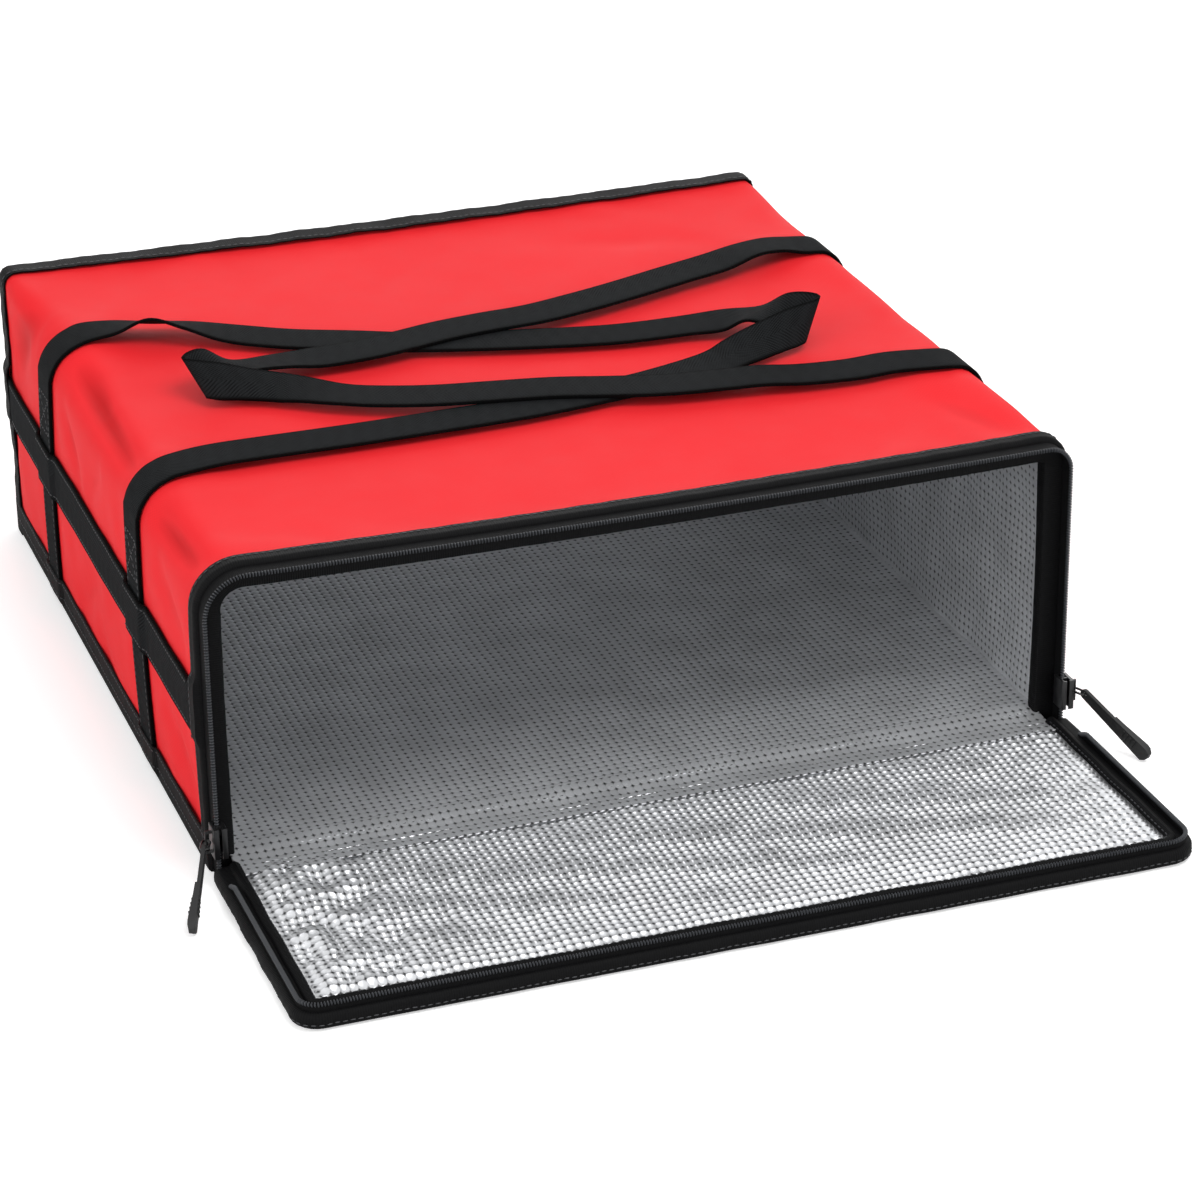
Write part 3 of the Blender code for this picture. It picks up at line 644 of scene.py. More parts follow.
def embossed_foil():
    """Metallised film pressed into a grid of small pillows: bright, with painted shade and
    reflection in the dark lines between them and in cloudy dark patches.
    """
    material, tree, shader = new_material("embossed_metallised_film")
    if tree is None:
        return material
    base = tuple(colours().foil)
    cloth = add(tree, "UVMap", uv_map="cloth")
    parts = add(tree, "SeparateXYZ", {0: cloth})
    waves = []
    for axis in ("X", "Y"):
        across = wave(tree, parts.outputs[axis], 2 * sizes().foil_pitch)
        waves.append(add(tree, "Math", {0: across}, operation="ABSOLUTE"))
    pillow = add(tree, "Math", {0: waves[0], 1: waves[1]}, operation="ADD")
    noise = {"Vector": cloth, "Scale": 190, "Detail": 3, "Roughness": 0.65}
    crumple = add(tree, "TexNoise", noise)
    patch = add(tree, "TexNoise", {"Vector": cloth, "Scale": 34, "Detail": 4})
    # Painted shade and painted dark reflections: the tone falls almost to black in the lines
    # between the pillows, and cloudy patches darken it further
    crown = add(tree, "MapRange", {"Value": pillow, "From Min": 0.36})
    ends = {"Color1": shade(base, 0.06), "Color2": shade(base, 1)}
    edge = add(tree, "MixRGB", {"Fac": crown, **ends})
    ends = {"Color1": shade(base, 0.25), "Color2": shade(base, 1)}
    cloudy = add(tree, "MixRGB", {"Fac": patch, **ends})
    ends = {"Color1": edge, "Color2": cloudy}
    painted_shade_and_reflection = add(tree, "MixRGB", {"Fac": 0.55, **ends}, blend_type="MULTIPLY")
    height = add(tree, "Math", {0: crumple, 1: 0.9, 2: pillow}, operation="MULTIPLY_ADD")
    bump = add(tree, "Bump", {"Strength": 0.55, "Distance": 0.0005, "Height": height})
    feed(tree, shader, {"Base Color": painted_shade_and_reflection, "Metallic": 0.62, "Roughness": 0.36, "Normal": bump})
    return material


def woven_webbing():
    """Polypropylene webbing: slanting ribs across a flat strap, with its colour darker along both
    edges.
    """
    material, tree, shader = new_material("woven_polypropylene_webbing")
    if tree is None:
        return material
    base = tuple(colours().webbing)
    cloth = add(tree, "UVMap", uv_map="cloth")
    # The twill's ribs lie 1.6 mm apart, are drawn 2.2 mm apart and lean towards the middle.
    parts = add(tree, "SeparateXYZ", {0: cloth})
    middle = sizes().web_width / 2
    centre = add(tree, "Math", {0: parts.outputs["X"], 1: middle}, operation="SUBTRACT")
    fold = add(tree, "Math", {0: centre}, operation="ABSOLUTE")
    lean = {0: fold, 1: 1.2, 2: parts.outputs["Y"]}
    rib = wave(tree, add(tree, "Math", lean, operation="MULTIPLY_ADD"), 0.0022)
    threads = woven(tree, cloth, 0.0009)
    height = add(tree, "Math", {0: rib, 1: 0.5, 2: threads}, operation="MULTIPLY_ADD")
    fuzz = add(tree, "TexNoise", {"Vector": cloth, "Scale": 900, "Detail": 2})
    light = add(tree, "Math", {0: fuzz, 1: 0.5, 2: height}, operation="MULTIPLY_ADD")
    ends = {"Color1": shade(base, 0.4), "Color2": shade(base, 2.3)}
    tone = add(tree, "MixRGB", {"Fac": light, **ends})
    # The colour darkens towards both edges of the strap
    rim = add(tree, "MapRange", {"Value": fold, "From Min": 0.0103, "From Max": 0.0118})
    edged = add(tree, "MixRGB", {"Fac": rim, "Color1": tone, "Color2": shade(base, 0.3)})
    bump = add(tree, "Bump", {"Strength": 0.6, "Distance": 0.0003, "Height": height})
    feed(tree, shader, {"Base Color": edged, "Roughness": 0.85, "Normal": bump, "IOR": 1.13})
    return material


def ribbed_tape(name, base, pitch, rough):
    """Tightly woven polyester tape: fine ribs across its length, nearly black."""
    material, tree, shader = new_material(name)
    if tree is None:
        return material
    cloth = add(tree, "UVMap", uv_map="cloth")
    parts = add(tree, "SeparateXYZ", {0: cloth})
    rib = wave(tree, parts.outputs["Y"], pitch)
    fuzz = add(tree, "TexNoise", {"Vector": cloth, "Scale": 500, "Detail": 3})
    height = add(tree, "Math", {0: rib, 1: 0.35, 2: fuzz}, operation="MULTIPLY_ADD")
    ends = {"Color1": shade(base, 0.6), "Color2": shade(base, 1.6)}
    tone = add(tree, "MixRGB", {"Fac": height, **ends})
    bump = add(tree, "Bump", {"Strength": 0.5, "Distance": 0.00025, "Height": height})
    feed(tree, shader, {"Base Color": tone, "Roughness": rough, "Normal": bump, "IOR": 1.18})
    return material


def binding_tape():
    """Woven binding: its ribs lie 1.1 mm apart, and it is matte with a faint sheen on bends."""
    return ribbed_tape("woven_binding_tape", tuple(colours().binding), 0.0011, 0.62)


def zipper_tape():
    """Woven zipper tape: finer ribs, 0.8 mm apart, and duller than the binding."""
    return ribbed_tape("woven_zipper_tape", tuple(colours().tape), 0.0008, 0.7)


def mottled(name, base, rough, spread, scale):
    """A smooth moulded or enamelled surface with faint mottling in tone and gloss."""
    material, tree, shader = new_material(name)
    if tree is None:
        return material
    place = add(tree, "TexCoord").outputs["Object"]
    noise = add(tree, "TexNoise", {"Vector": place, "Scale": scale, "Detail": 3})
    ends = {"Color1": shade(base, 1 - spread), "Color2": shade(base, 1 + spread)}
    tone = add(tree, "MixRGB", {"Fac": noise, **ends})
    gloss = add(tree, "MapRange", {"Value": noise, "To Min": rough - 0.06, "To Max": rough + 0.06})
    bump = add(tree, "Bump", {"Strength": 0.2, "Distance": 0.0001, "Height": noise})
    feed(tree, shader, {"Base Color": tone, "Roughness": gloss, "Normal": bump})
    return material


def nylon_coil():
    """Moulded nylon monofilament: slightly glossy dark grey turns."""
    return mottled("moulded_nylon", tuple(colours().coil), 0.5, 0.25, 700)


def enamelled_zinc():
    """Die-cast zinc under black enamel: smooth, with soft highlights on its edges."""
    return mottled("enamelled_zinc", tuple(colours().metal), 0.3, 0.2, 300)


def moulded_rubber():
    """Moulded rubber: matte, very dark, with a faint skin from the mould."""
    return mottled("moulded_rubber", tuple(colours().rubber), 0.55, 0.3, 900)


def bonded_thread():
    """Bonded polyester thread: dark, with a faint shine on each stitch."""
    return mottled("bonded_polyester_thread", tuple(colours().thread), 0.5, 0.3, 1500)


# Soft sheets: how they buckle and how the foil is embossed

# Most that the simulation may shift a point along the sheet
MOST_SLIP = 0.0008


def emboss(piece, height):
    """Presses the foil's grid of small pillows into a mesh, along its normals, by its UV map."""
    mesh = piece.data
    crossing = np.abs(np.sin(math.pi * uv_points(mesh) / sizes().foil_pitch))
    lift = height * np.minimum(1, 1.15 * np.sqrt(crossing[:, 0] * crossing[:, 1]))
    place_points(mesh, coordinates(mesh) + normals_of(mesh) * lift[:, None])


def pillows(wide, tall):
    """How many of the foil's pillows fit on a sheet each way, and the size of that many."""
    pitch = sizes().foil_pitch
    cells, rows = int(wide / pitch), int(tall / pitch)
    return cells, rows, (cells * pitch, rows * pitch)


def blur(values, columns, times):
    """Evens out values that belong to the points of a grid."""
    field = values.reshape(-1, columns + 1)
    for _ in range(times):
        for _ in range(2):
            wide = np.pad(field, ((1, 1), (0, 0)), mode="edge")
            field = ((wide[:-2] + 2 * wide[1:-1] + wide[2:]) / 4).T
    return field.ravel()


def border_of(piece, reach):
    """1 on the border of an open sheet, falling to 0 inside, by its UV map."""
    place = uv_points(piece.data)
    edge = np.minimum(place - place.min(0), place.max(0) - place).min(1)
    return 1 - smooth(edge / reach)


def relax(piece, columns, held, frames, grow, caps, bending=0.4, evened=0):
    """Lets a sheet buckle as cloth that is a little too large for its place: a simulation in
    which held (1 to 0 for each point) says how firmly it is sewn down. The caps limit how far
    points move inwards and outwards, so that the layers keep their order."""
    rest = coordinates(piece.data)
    normals = normals_of(piece.data).astype(float)
    normals *= np.sign((normals * (rest - rest.mean(0))).sum())
    group = piece.vertex_groups.new(name="sewn")
    levels = np.round(held, 2)
    for level in np.unique(levels):
        group.add(np.flatnonzero(levels == level).tolist(), float(level), "REPLACE")
    cloth = piece.modifiers.new("Buckling", "CLOTH")
    setting = cloth.settings
    setting.quality = 5
    setting.mass = 0.15
    setting.tension_stiffness = setting.compression_stiffness = 20
    setting.shear_stiffness = 8
    setting.bending_stiffness = bending
    setting.vertex_group_mass = "sewn"
    setting.shrink_min = setting.shrink_max = -grow
    setting.effector_weights.gravity = 0.1
    cloth.collision_settings.use_collision = False
    for number in range(1, frames + 1):
        bpy.context.scene.frame_set(number)
    graph = bpy.context.evaluated_depsgraph_get()
    step = coordinates(piece.evaluated_get(graph).data) - rest
    bpy.context.scene.frame_set(1)
    piece.modifiers.remove(cloth)
    piece.vertex_groups.remove(group)
    out = (step * normals).sum(1)
    inward, outward = caps
    limited = np.where(out < 0, -inward * np.tanh(-out / np.maximum(inward, 1e-9)), 0)
    limited += np.where(out > 0, outward * np.tanh(out / np.maximum(outward, 1e-9)), 0)
    limited = blur(limited, columns, evened)
    along = step - out[:, None] * normals
    size = np.linalg.norm(along, axis=1)[:, None]
    along *= np.minimum(1, MOST_SLIP / np.maximum(size, 1e-9))
    place_points(piece.data, rest + along + limited[:, None] * normals)


# Pieces

# The shell is held beside its seams, at its feet and beneath the webbing, and is loose elsewhere.
SEAM_HOLD, FOOT_HOLD, WEB_HOLD, WEB_FADE, LOOSE = 0.012, 0.020, 0.002, 0.008, 0.03

# Relief of the shell: puckers that fade away from the seams, and calm swells
PUCKER, PUCKER_REACH, CALM = 0.00045, 0.016, 0.00035
SLEEVE_SETBACK = 0.0015


class BagSleeve(bpy.types.Operator):
    """Builds the red shell: the sleeve over both sides and the top, the back and the bottom"""

    bl_idname = "delivery_bag.shell"
    bl_label = "Shell"

    def execute(self, context):
        self.sleeve()
        self.back()
        self.bottom()
        return {"FINISHED"}

    def sleeve(self):
        s = sizes()
        front, back = SLEEVE_LOW.y, BACK_HIGH.y - SLEEVE_SETBACK
        around = around_body()
        columns = 190

        def shell(u, v):
            y = front + v * (back - front)
            plain = over(u, y, FABRIC / 2, SHELL_FOOT)
            edge = np.minimum(v, 1 - v) * (back - front)
            pucker = PUCKER * np.exp(-edge / PUCKER_REACH) * (1 + ripple(u * around * 1.6, y, 0.4))
            calm = CALM * (1 + ripple(u * around * 0.45, y * 0.45, 2.0))
            sunk = dent(plain) + pucker + calm
            return settle(over(u, y, FABRIC / 2 + sunk, SHELL_FOOT))

        def sewn(points):
            """1 where the sleeve is sewn or glued: at its edges and beneath the webbing."""
            x, y, z = points.T
            held = 1 - smooth((y - front) / SEAM_HOLD)
            held = np.maximum(held, 1 - smooth((back - y) / SEAM_HOLD))
            held = np.maximum(held, 1 - smooth((z - 0.004) / FOOT_HOLD))
            upright = np.abs(x) > 0.18
            half = s.web_width / 2 + WEB_HOLD
            for (side, _), (top, foot) in STRAP_PLACES.items():
                middle = foot + (top - foot) * z / s.height
                held = np.maximum(held, hump(y, middle, half, WEB_FADE) * upright * (x * side > 0))
            band = hump(z, BAND_HEIGHT, half, WEB_FADE) * upright
            return np.maximum(np.maximum(held, band), LOOSE)

        sleeve = grid("shell_sleeve", columns, 120, shell, (around, back - front))
        # Each point's valley depth, kept as the "fold" attribute, from which the fabric paints
        # shade into its folds
        folds = sleeve.data.attributes.new("fold", "FLOAT", "POINT")
        u, v = (uv_points(sleeve.data) / (around, back - front)).T
        depth = dent(over(u, front + v * (back - front), FABRIC / 2, SHELL_FOOT))
        folds.data.foreach_set("value", depth.astype(np.float32))
        settled = coordinates(sleeve.data)
        outward = 0.0012 * smooth((np.abs(settled[:, 0]) - 0.19) / 0.01)
        relax(sleeve, columns, sewn(settled), 18, 0.008, (0.0026, outward), 12, 5)
        foams = ("left_foam", "right_foam", "top_foam", "back_foam", "bottom_foam")
        finish(sleeve, FABRIC, coated_polyester, "bag", ("outer_sleeve", *foams))

    def back(self):
        s = sizes()
        columns = 120

        def rear(u, v):
            low = over(u, np.full_like(u, s.depth / 2), FABRIC, SHELL_FOOT)
            foot = np.stack([low[:, 0], low[:, 1], np.full_like(u, SHELL_FOOT)], axis=-1)
            both = foot + (low - foot) * v[:, None]
            both[:, 1] = s.depth / 2 - FABRIC / 2
            swell = 0.0022 * np.sin(math.pi * np.clip(both[:, 2] / s.height, 0, 1))
            swell *= np.clip(1 - (both[:, 0] * 2 / s.width) ** 2, 0, 1)
            both[:, 1] -= swell + 0.0006 * (1 + ripple(both[:, 0] * 0.7, both[:, 2], 1.1))
            return settle(both)

        panel = grid("shell_back", columns, 44, rear, (s.width, s.height))
        x, _, z = coordinates(panel.data).T
        edge = np.minimum(np.minimum(z, s.height - z), s.width / 2 - np.abs(x))
        band = hump(z, BAND_HEIGHT, 0.0145, WEB_FADE)
        held = np.maximum(1 - smooth((edge - 0.011) / SEAM_HOLD), band)
        relax(panel, columns, np.maximum(held, LOOSE), 16, 0.008, (0.0020, 0.0012), 12, 2)
        finish(panel, FABRIC, coated_polyester, "bag", ("back_panel",))

    def bottom(self):
        low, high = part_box("bottom_panel")
        wide, deep = high.x - low.x, high.y - low.y

        def under(u, v):
            x, y = low.x + u * wide, low.y + v * deep
            rise = 0.0003 * (1 + ripple(x, y, 3.1))
            middle = FABRIC / 2 + rise * np.minimum(1, 12 * np.minimum(v, 1 - v))
            return np.stack([x, y, middle], axis=-1)

        floor = grid("shell_bottom", 60, 60, under, (wide, deep))
        finish(floor, FABRIC, coated_polyester, "bag", ("bottom_panel",))


class BagLinings(bpy.types.Operator):
    """Builds the foil linings of the sleeve, the back and the floor"""

    bl_idname = "delivery_bag.linings"
    bl_label = "Linings"

    def execute(self, context):
        self.sleeve()
        self.back()
        self.floor()
        return {"FINISHED"}

    def sleeve(self):
        low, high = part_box("sleeve_lining")
        front, back = low.y, high.y
        around = around_body()

        def inside(u, v):
            y = front + v * (back - front)
            inset = LINING_INSET - FOIL / 2
            edge = np.minimum(v, 1 - v) * (back - front)
            calm = 1 - np.exp(-edge / 0.012)
            slack = 0.0013 * calm * (1 + ripple(u * around, y, 5.2))
            slack += dent(over(u, y, FABRIC / 2, LINING_FOOT)) * np.minimum(edge / 0.01, 1)
            return settle(over(u, y, inset + slack, LINING_FOOT))

        lining = grid("foil_sleeve", 170, 100, inside, (around, back - front))
        finish(lining, FOIL, embossed_foil, "bag", ("sleeve_lining",))

    def back(self):
        low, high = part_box("back_lining")
        wide, tall = high.x - low.x, high.z - low.z

        def rear(u, v):
            x = low.x + u * wide
            z = low.z - 0.0004 + v * tall
            soft = np.clip(1 - (2 * u - 1) ** 2, 0, 1) * np.sin(math.pi * v)
            y = low.y + FOIL / 2 - 0.0022 * soft * (1 + 0.8 * ripple(x, z, 2.2))
            return settle(np.stack([x, y, z], axis=-1))

        cells, rows, cloth = pillows(wide, tall)
        wall = grid("foil_back", 2 * cells, 2 * rows, rear, cloth)
        emboss(wall, 0.0005)
        finish(wall, FOIL, embossed_foil, "bag", ("back_lining",))

    def floor(self):
        low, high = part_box("bottom_lining")
        wide, deep = high.x - low.x, high.y - low.y

        def under(u, v):
            """Flat but for small waves, which tell the film which way to buckle."""
            x, y = low.x + u * wide, low.y + v * deep
            return np.stack([x, y, high.z + 0.0004 * ripple(x * 0.8, y * 0.8, 1.9)], axis=-1)

        cells, rows, cloth = pillows(wide, deep)
        floor = grid("foil_floor", cells, rows, under, cloth)
        relax(floor, cells, border_of(floor, 0.01), 14, 0.018, (0.0004, 0.0030))
        subdivide(floor, 1)
        keep_between(floor, high.z - FOIL / 2)
        emboss(floor, 0.0006)
        finish(floor, FOIL, embossed_foil, "bag", ("bottom_lining",))


# The bottom's tape is turned under by this length, and reaches past its node at the back.
BOTTOM_FOLD, BOTTOM_LAP = 0.0095, 0.0080
BINDING_LIFT = BINDING / 2 + 0.0001


def feet_of_straps(side, y):
    """1 where a side strap ends beneath the bottom's tape."""
    feet = [STRAP_PLACES[side, place][1] for place in ("rear", "front")]
    return sum(hump(y, foot, sizes().web_width / 2, 0.004) for foot in feet)


class BagBindings(bpy.types.Operator):
    """Builds the binding tape round the mouth, the back and the bottom"""

    bl_idname = "delivery_bag.bindings"
    bl_label = "Bindings"

    def execute(self, context):
        edge_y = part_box("opening_binding")[0].y
        mouth = (
            (LINING_INSET + 0.0006, edge_y + 0.0110),
            (LINING_INSET + 0.0030, edge_y + 0.0098),
            (LINING_INSET + 0.0044, edge_y + 0.0060),
            (LINING_INSET + 0.0044, edge_y + 0.0020),
            (LINING_INSET + 0.0034, edge_y + 0.0004),
            (0.0008, edge_y + 0.0004),
            (-BINDING_MIDDLE, edge_y + 0.0014),
            (-BINDING_MIDDLE, edge_y + 0.0085),
            (-BINDING_MIDDLE + 0.0002, edge_y + 0.0094),
        )
        rear_y = BACK_HIGH.y + BINDING_MIDDLE
        back = (
            (-BINDING_MIDDLE + 0.0002, rear_y - 0.0128),
            (-BINDING_MIDDLE, rear_y - 0.0118),
            (-BINDING_MIDDLE, rear_y - 0.0012),
            (0.0006, rear_y),
            (0.0070, rear_y),
            (0.0086, rear_y - 0.0003),
        )
        lines = [
            self.folded("binding_mouth", "opening_binding", mouth, (240, 26), 0.9, 0.00012, 0.93),
            self.folded("binding_back", "back_binding", back, (260, 16), 2.7, 0.00030, 0.10),
        ]
        for word, side in SIDES:
            lines += self.bottom(word, side)
        lines.append(self.bottom_rear())
        sew("stitching_bindings", lines, "bag", BINDING_LIFT)
        return {"FINISHED"}

    def folded(self, name, node, profile, cells, seed, uneven, stitched):
        """A tape folded to a profile of (inset, depth) points and led round the body. Gives the
        line of its stitches, at a share of its width."""
        s = sizes()
        around = around_body()
        profile = np.array(profile)
        far = lengths_along(profile)

        def place(u, v):
            inset, y = rows_at(v * far[-1], far, profile).T
            run = (1 - np.abs(2 * u - 1)) * around / 2
            over_band = hump(run, BAND_HEIGHT, s.web_width / 2 + 0.001, 0.004)
            outside = smooth(-inset / 0.0006)
            wavy = uneven * ripple(u * around * 2.2, y, seed)
            inset = inset - wavy * (1 + outside) - 0.0016 * over_band * outside
            return settle(over(u, y + 0.5 * wavy, inset, SHELL_FOOT))

        tape = grid(name, *cells, place, (around, far[-1]), turned=True)
        finish(tape, BINDING, binding_tape, "bag", (node,))
        return seam(place, np.linspace(0.004, 0.996, 3000), stitched, from_body)

    def bottom(self, word, side):
        """The tape along one side's foot, with two lines of stitches."""
        s = sizes()
        low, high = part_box(f"{word}_bottom_binding")
        low_y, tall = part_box("left_bottom_binding")[0].y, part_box("left_bottom_binding")[1].z

        def place(u, v):
            y = low_y + v * (high.y + BOTTOM_LAP - low_y)
            far = u * (tall + BOTTOM_FOLD)
            rise = np.clip(far - BOTTOM_FOLD, 0, None)
            reach = np.clip(BOTTOM_FOLD - far, 0, None)
            bulge = 0.0017 * feet_of_straps(side, y) * smooth(rise / 0.006)
            wavy = 0.00025 * ripple(y * 1.8, rise, 4.0 + side)
            x = s.width / 2 + BINDING_MIDDLE - reach + (bulge + wavy) * smooth(rise / 0.004)
            corner = hump(far, BOTTOM_FOLD, 0.0, 0.0016)
            flat = np.stack([side * (x - 0.0004 * corner), y, rise + BINDING / 2], axis=-1)
            moved = settle(flat)
            moved[:, 2] = flat[:, 2]
            return moved

        tape = grid(f"binding_{word}_bottom", 16, 150, place, (tall + BOTTOM_FOLD, s.depth))
        finish(tape, BINDING, binding_tape, "bag", (f"{word}_bottom_binding",))
        v = np.linspace(0.004, 0.996, 1500)
        return [seam(place, u, v, from_body) for u in (0.93, 0.62)]

    def bottom_rear(self):
        """The tape along the back's foot, with one line of stitches."""
        s = sizes()
        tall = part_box("left_bottom_binding")[1].z

        def place(u, v):
            x = (2 * u - 1) * (s.width / 2 + BINDING_REACH)
            far = v * (tall + BOTTOM_FOLD)
            rise = np.clip(far - BOTTOM_FOLD, 0, None)
            reach = np.clip(BOTTOM_FOLD - far, 0, None)
            wavy = 0.0003 * ripple(x * 1.6, rise, 6.5) * smooth(rise / 0.004)
            y = s.depth / 2 + BINDING_MIDDLE - reach + wavy
            return np.stack([x, y, rise + BINDING / 2 + 0.00002], axis=-1)

        cloth = (s.width, tall + BOTTOM_FOLD)
        tape = grid("binding_back_bottom", 150, 16, place, cloth, turned=True)
        finish(tape, BINDING, binding_tape, "bag", ("back_bottom_binding",))
        return seam(place, np.linspace(0.004, 0.996, 1500), 0.93, from_body)


class BagZipper(bpy.types.Operator):
    """Builds the zipper's tape and coil round the body's mouth"""

    bl_idname = "delivery_bag.zipper"
    bl_label = "Body zipper"

    def execute(self, context):
        around = around_body(-0.2)
        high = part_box("body_zipper_tape")[1]
        foot = COIL_LOW.z

        def tape_at(u, v):
            y = high.y + 0.0006 + v * (COIL_LOW.y + 0.0012 - high.y)
            wavy = 0.00005 * ripple(u * around * 2.0, y, 3.3)
            return settle(over(u, y, COIL_INSET + wavy, foot))

        tape = grid("zipper_tape_body", 240, 8, tape_at, (around, 0.009), turned=True)
        finish(tape, TAPE, zipper_tape, "bag", ("body_zipper_tape",))
        u = np.linspace(0, 1, 6000)
        y = np.full_like(u, COIL_LOW.y + 0.0013)

        def line(inset):
            return settle(over(u, y, inset, foot))

        coil_row("zipper_coil_body", line, "bag", "body_zipper_coil", -1)
        return {"FINISHED"}


# Handle routes: reach from the hinge and depth in metres, layers of webbing beneath,
# lean of the webbing and its turn towards the tip in degrees
LEFT_ROUTE = (
    (0.0000, 0.0981, 0.3, 0, 0),
    (0.0140, 0.0960, 0.6, -6, 4),
    (0.0318, 0.0930, 0.0, -24, 12),
    (0.0500, 0.0861, 0.0, -14, 24),
    (0.0700, 0.0739, 0.0, -2, 31),
    (0.0949, 0.0590, 0.0, 0, 26),
    (0.1250, 0.0460, 0.0, 0, 22),
    (0.1480, 0.0351, 0.0, 0, 22),
    (0.1750, 0.0260, 0.0, 0, 16),
    (0.2100, 0.0160, 0.0, 0, 14),
    (0.2499, 0.0065, 0.0, 0, 9),
    (0.2849, 0.0025, 0.3, 0, 7),
    (0.3042, -0.0021, 0.8, 3, 20),
    (0.3182, -0.0105, 3.0, -4, 38),
    (0.3311, -0.0221, 2.0, 28, 30),
    (0.3399, -0.0311, 0.0, 46, 46),
    (0.3360, -0.0370, 0.0, 44, 42),
    (0.3241, -0.0389, 0.0, 36, 26),
    (0.3101, -0.0410, 0.0, 22, 8),
    (0.2961, -0.0441, 0.0, 9, -14),
    (0.2821, -0.0496, 0.0, 2, -20),
    (0.2461, -0.0590, 0.0, 0, -12),
    (0.2202, -0.0630, 0.0, 0, -9),
    (0.1799, -0.0685, 0.0, 0, -6),
    (0.1351, -0.0710, 0.0, 0, -3),
    (0.0900, -0.0731, 0.0, 0, -3),
    (0.0452, -0.0746, 0.0, 0, -5),
    (0.0210, -0.0779, 0.3, 0, -8),
    (0.0000, -0.0840, 0.3, 0, 0),
)
RIGHT_ROUTE = (
    (0.0000, 0.0851, 0.5, 0, 0),
    (0.0140, 0.0844, 1.5, -3, 5),
    (0.0301, 0.0819, 1.5, -5, 12),
    (0.0500, 0.0760, 1.2, 0, 16),
    (0.0749, 0.0691, 1.0, 0, 18),
    (0.1050, 0.0590, 1.0, 0, 18),
    (0.1319, 0.0510, 1.0, 0, 15),
    (0.1600, 0.0441, 1.0, 0, 10),
    (0.1851, 0.0420, 1.0, 0, 6),
    (0.2100, 0.0384, 1.0, 0, 11),
    (0.2321, 0.0325, 1.0, 0, 14),
    (0.2551, 0.0271, 1.0, 0, 10),
    (0.2800, 0.0246, 1.0, 0, 6),
    (0.3000, 0.0225, 1.0, -6, 9),
    (0.3199, 0.0178, 2.0, -6, 15),
    (0.3360, 0.0126, 2.0, 24, 12),
    (0.3461, 0.0063, 0.0, 38, 21),
    (0.3440, 0.0010, 0.0, 36, 21),
    (0.3301, -0.0021, 0.0, 27, 12),
    (0.3150, -0.0069, 0.0, 16, 0),
    (0.2989, -0.0149, 0.5, 6, -30),
    (0.2832, -0.0260, 1.0, 0, -33),
    (0.2649, -0.0351, 1.0, 0, -24),
    (0.2401, -0.0430, 1.0, 0, -14),
    (0.2100, -0.0485, 1.0, 0, -11),
    (0.1830, -0.0540, 1.0, 0, -16),
    (0.1571, -0.0630, 1.0, 0, -18),
    (0.1309, -0.0710, 1.0, 0, -14),
    (0.1050, -0.0750, 1.0, 0, -9),
    (0.0851, -0.0779, 1.0, 0, -10),
    (0.0651, -0.0819, 0.4, 0, -7),
    (0.0399, -0.0840, 0.0, 0, -3),
    (0.0200, -0.0844, 0.2, 0, -8),
    (0.0000, -0.0901, 0.5, 0, 0),
)

# The handles hinge at HANDLE_ROOT. HANDLE_BEND gives two places across the top, from which each
# strap's start and end points are made.
HANDLE_ROOT = 0.190
HANDLE_BEND = (0.1985, 0.1800)
SIDE_TOP = 0.1975

# Webbing: rounding of its edges, spacing of the route's samples and steps between two knots
WEB_EDGE, ROUTE_SPACING, KNOT_STEPS = 0.0004, 0.0022, 24
WEB_LIFT = 0.00005

# Stitches on the webbing: shares of its width, and the lengths up a strap at which its rows
# start and end and its crossed box starts
NEAR_EDGE, FAR_EDGE = 0.1, 0.9
ROW_START, ROW_END, BOX_START = 0.012, 0.1165, 0.096


def curve_through(knots, spacing):
    """A smooth line through rows of numbers whose first three are a place, evenly sampled."""
    knots = np.array(knots, float)
    padded = np.vstack([2 * knots[0] - knots[1], knots, 2 * knots[-1] - knots[-2]])
    t = np.linspace(0, 1, KNOT_STEPS, endpoint=False)[:, None]
    rows = []
    for a, b, c, d in zip(padded, padded[1:], padded[2:], padded[3:]):
        second, third = 2 * a - 5 * b + 4 * c - d, 3 * (b - c) + d - a
        rows.append(0.5 * (2 * b + t * (c - a) + t**2 * second + t**3 * third))
    dense = np.vstack([*rows, knots[-1:]])
    far = lengths_along(dense[:, :3])
    at = np.linspace(0, far[-1], int(far[-1] / spacing) + 1)
    return rows_at(at, far, dense), far[-1]


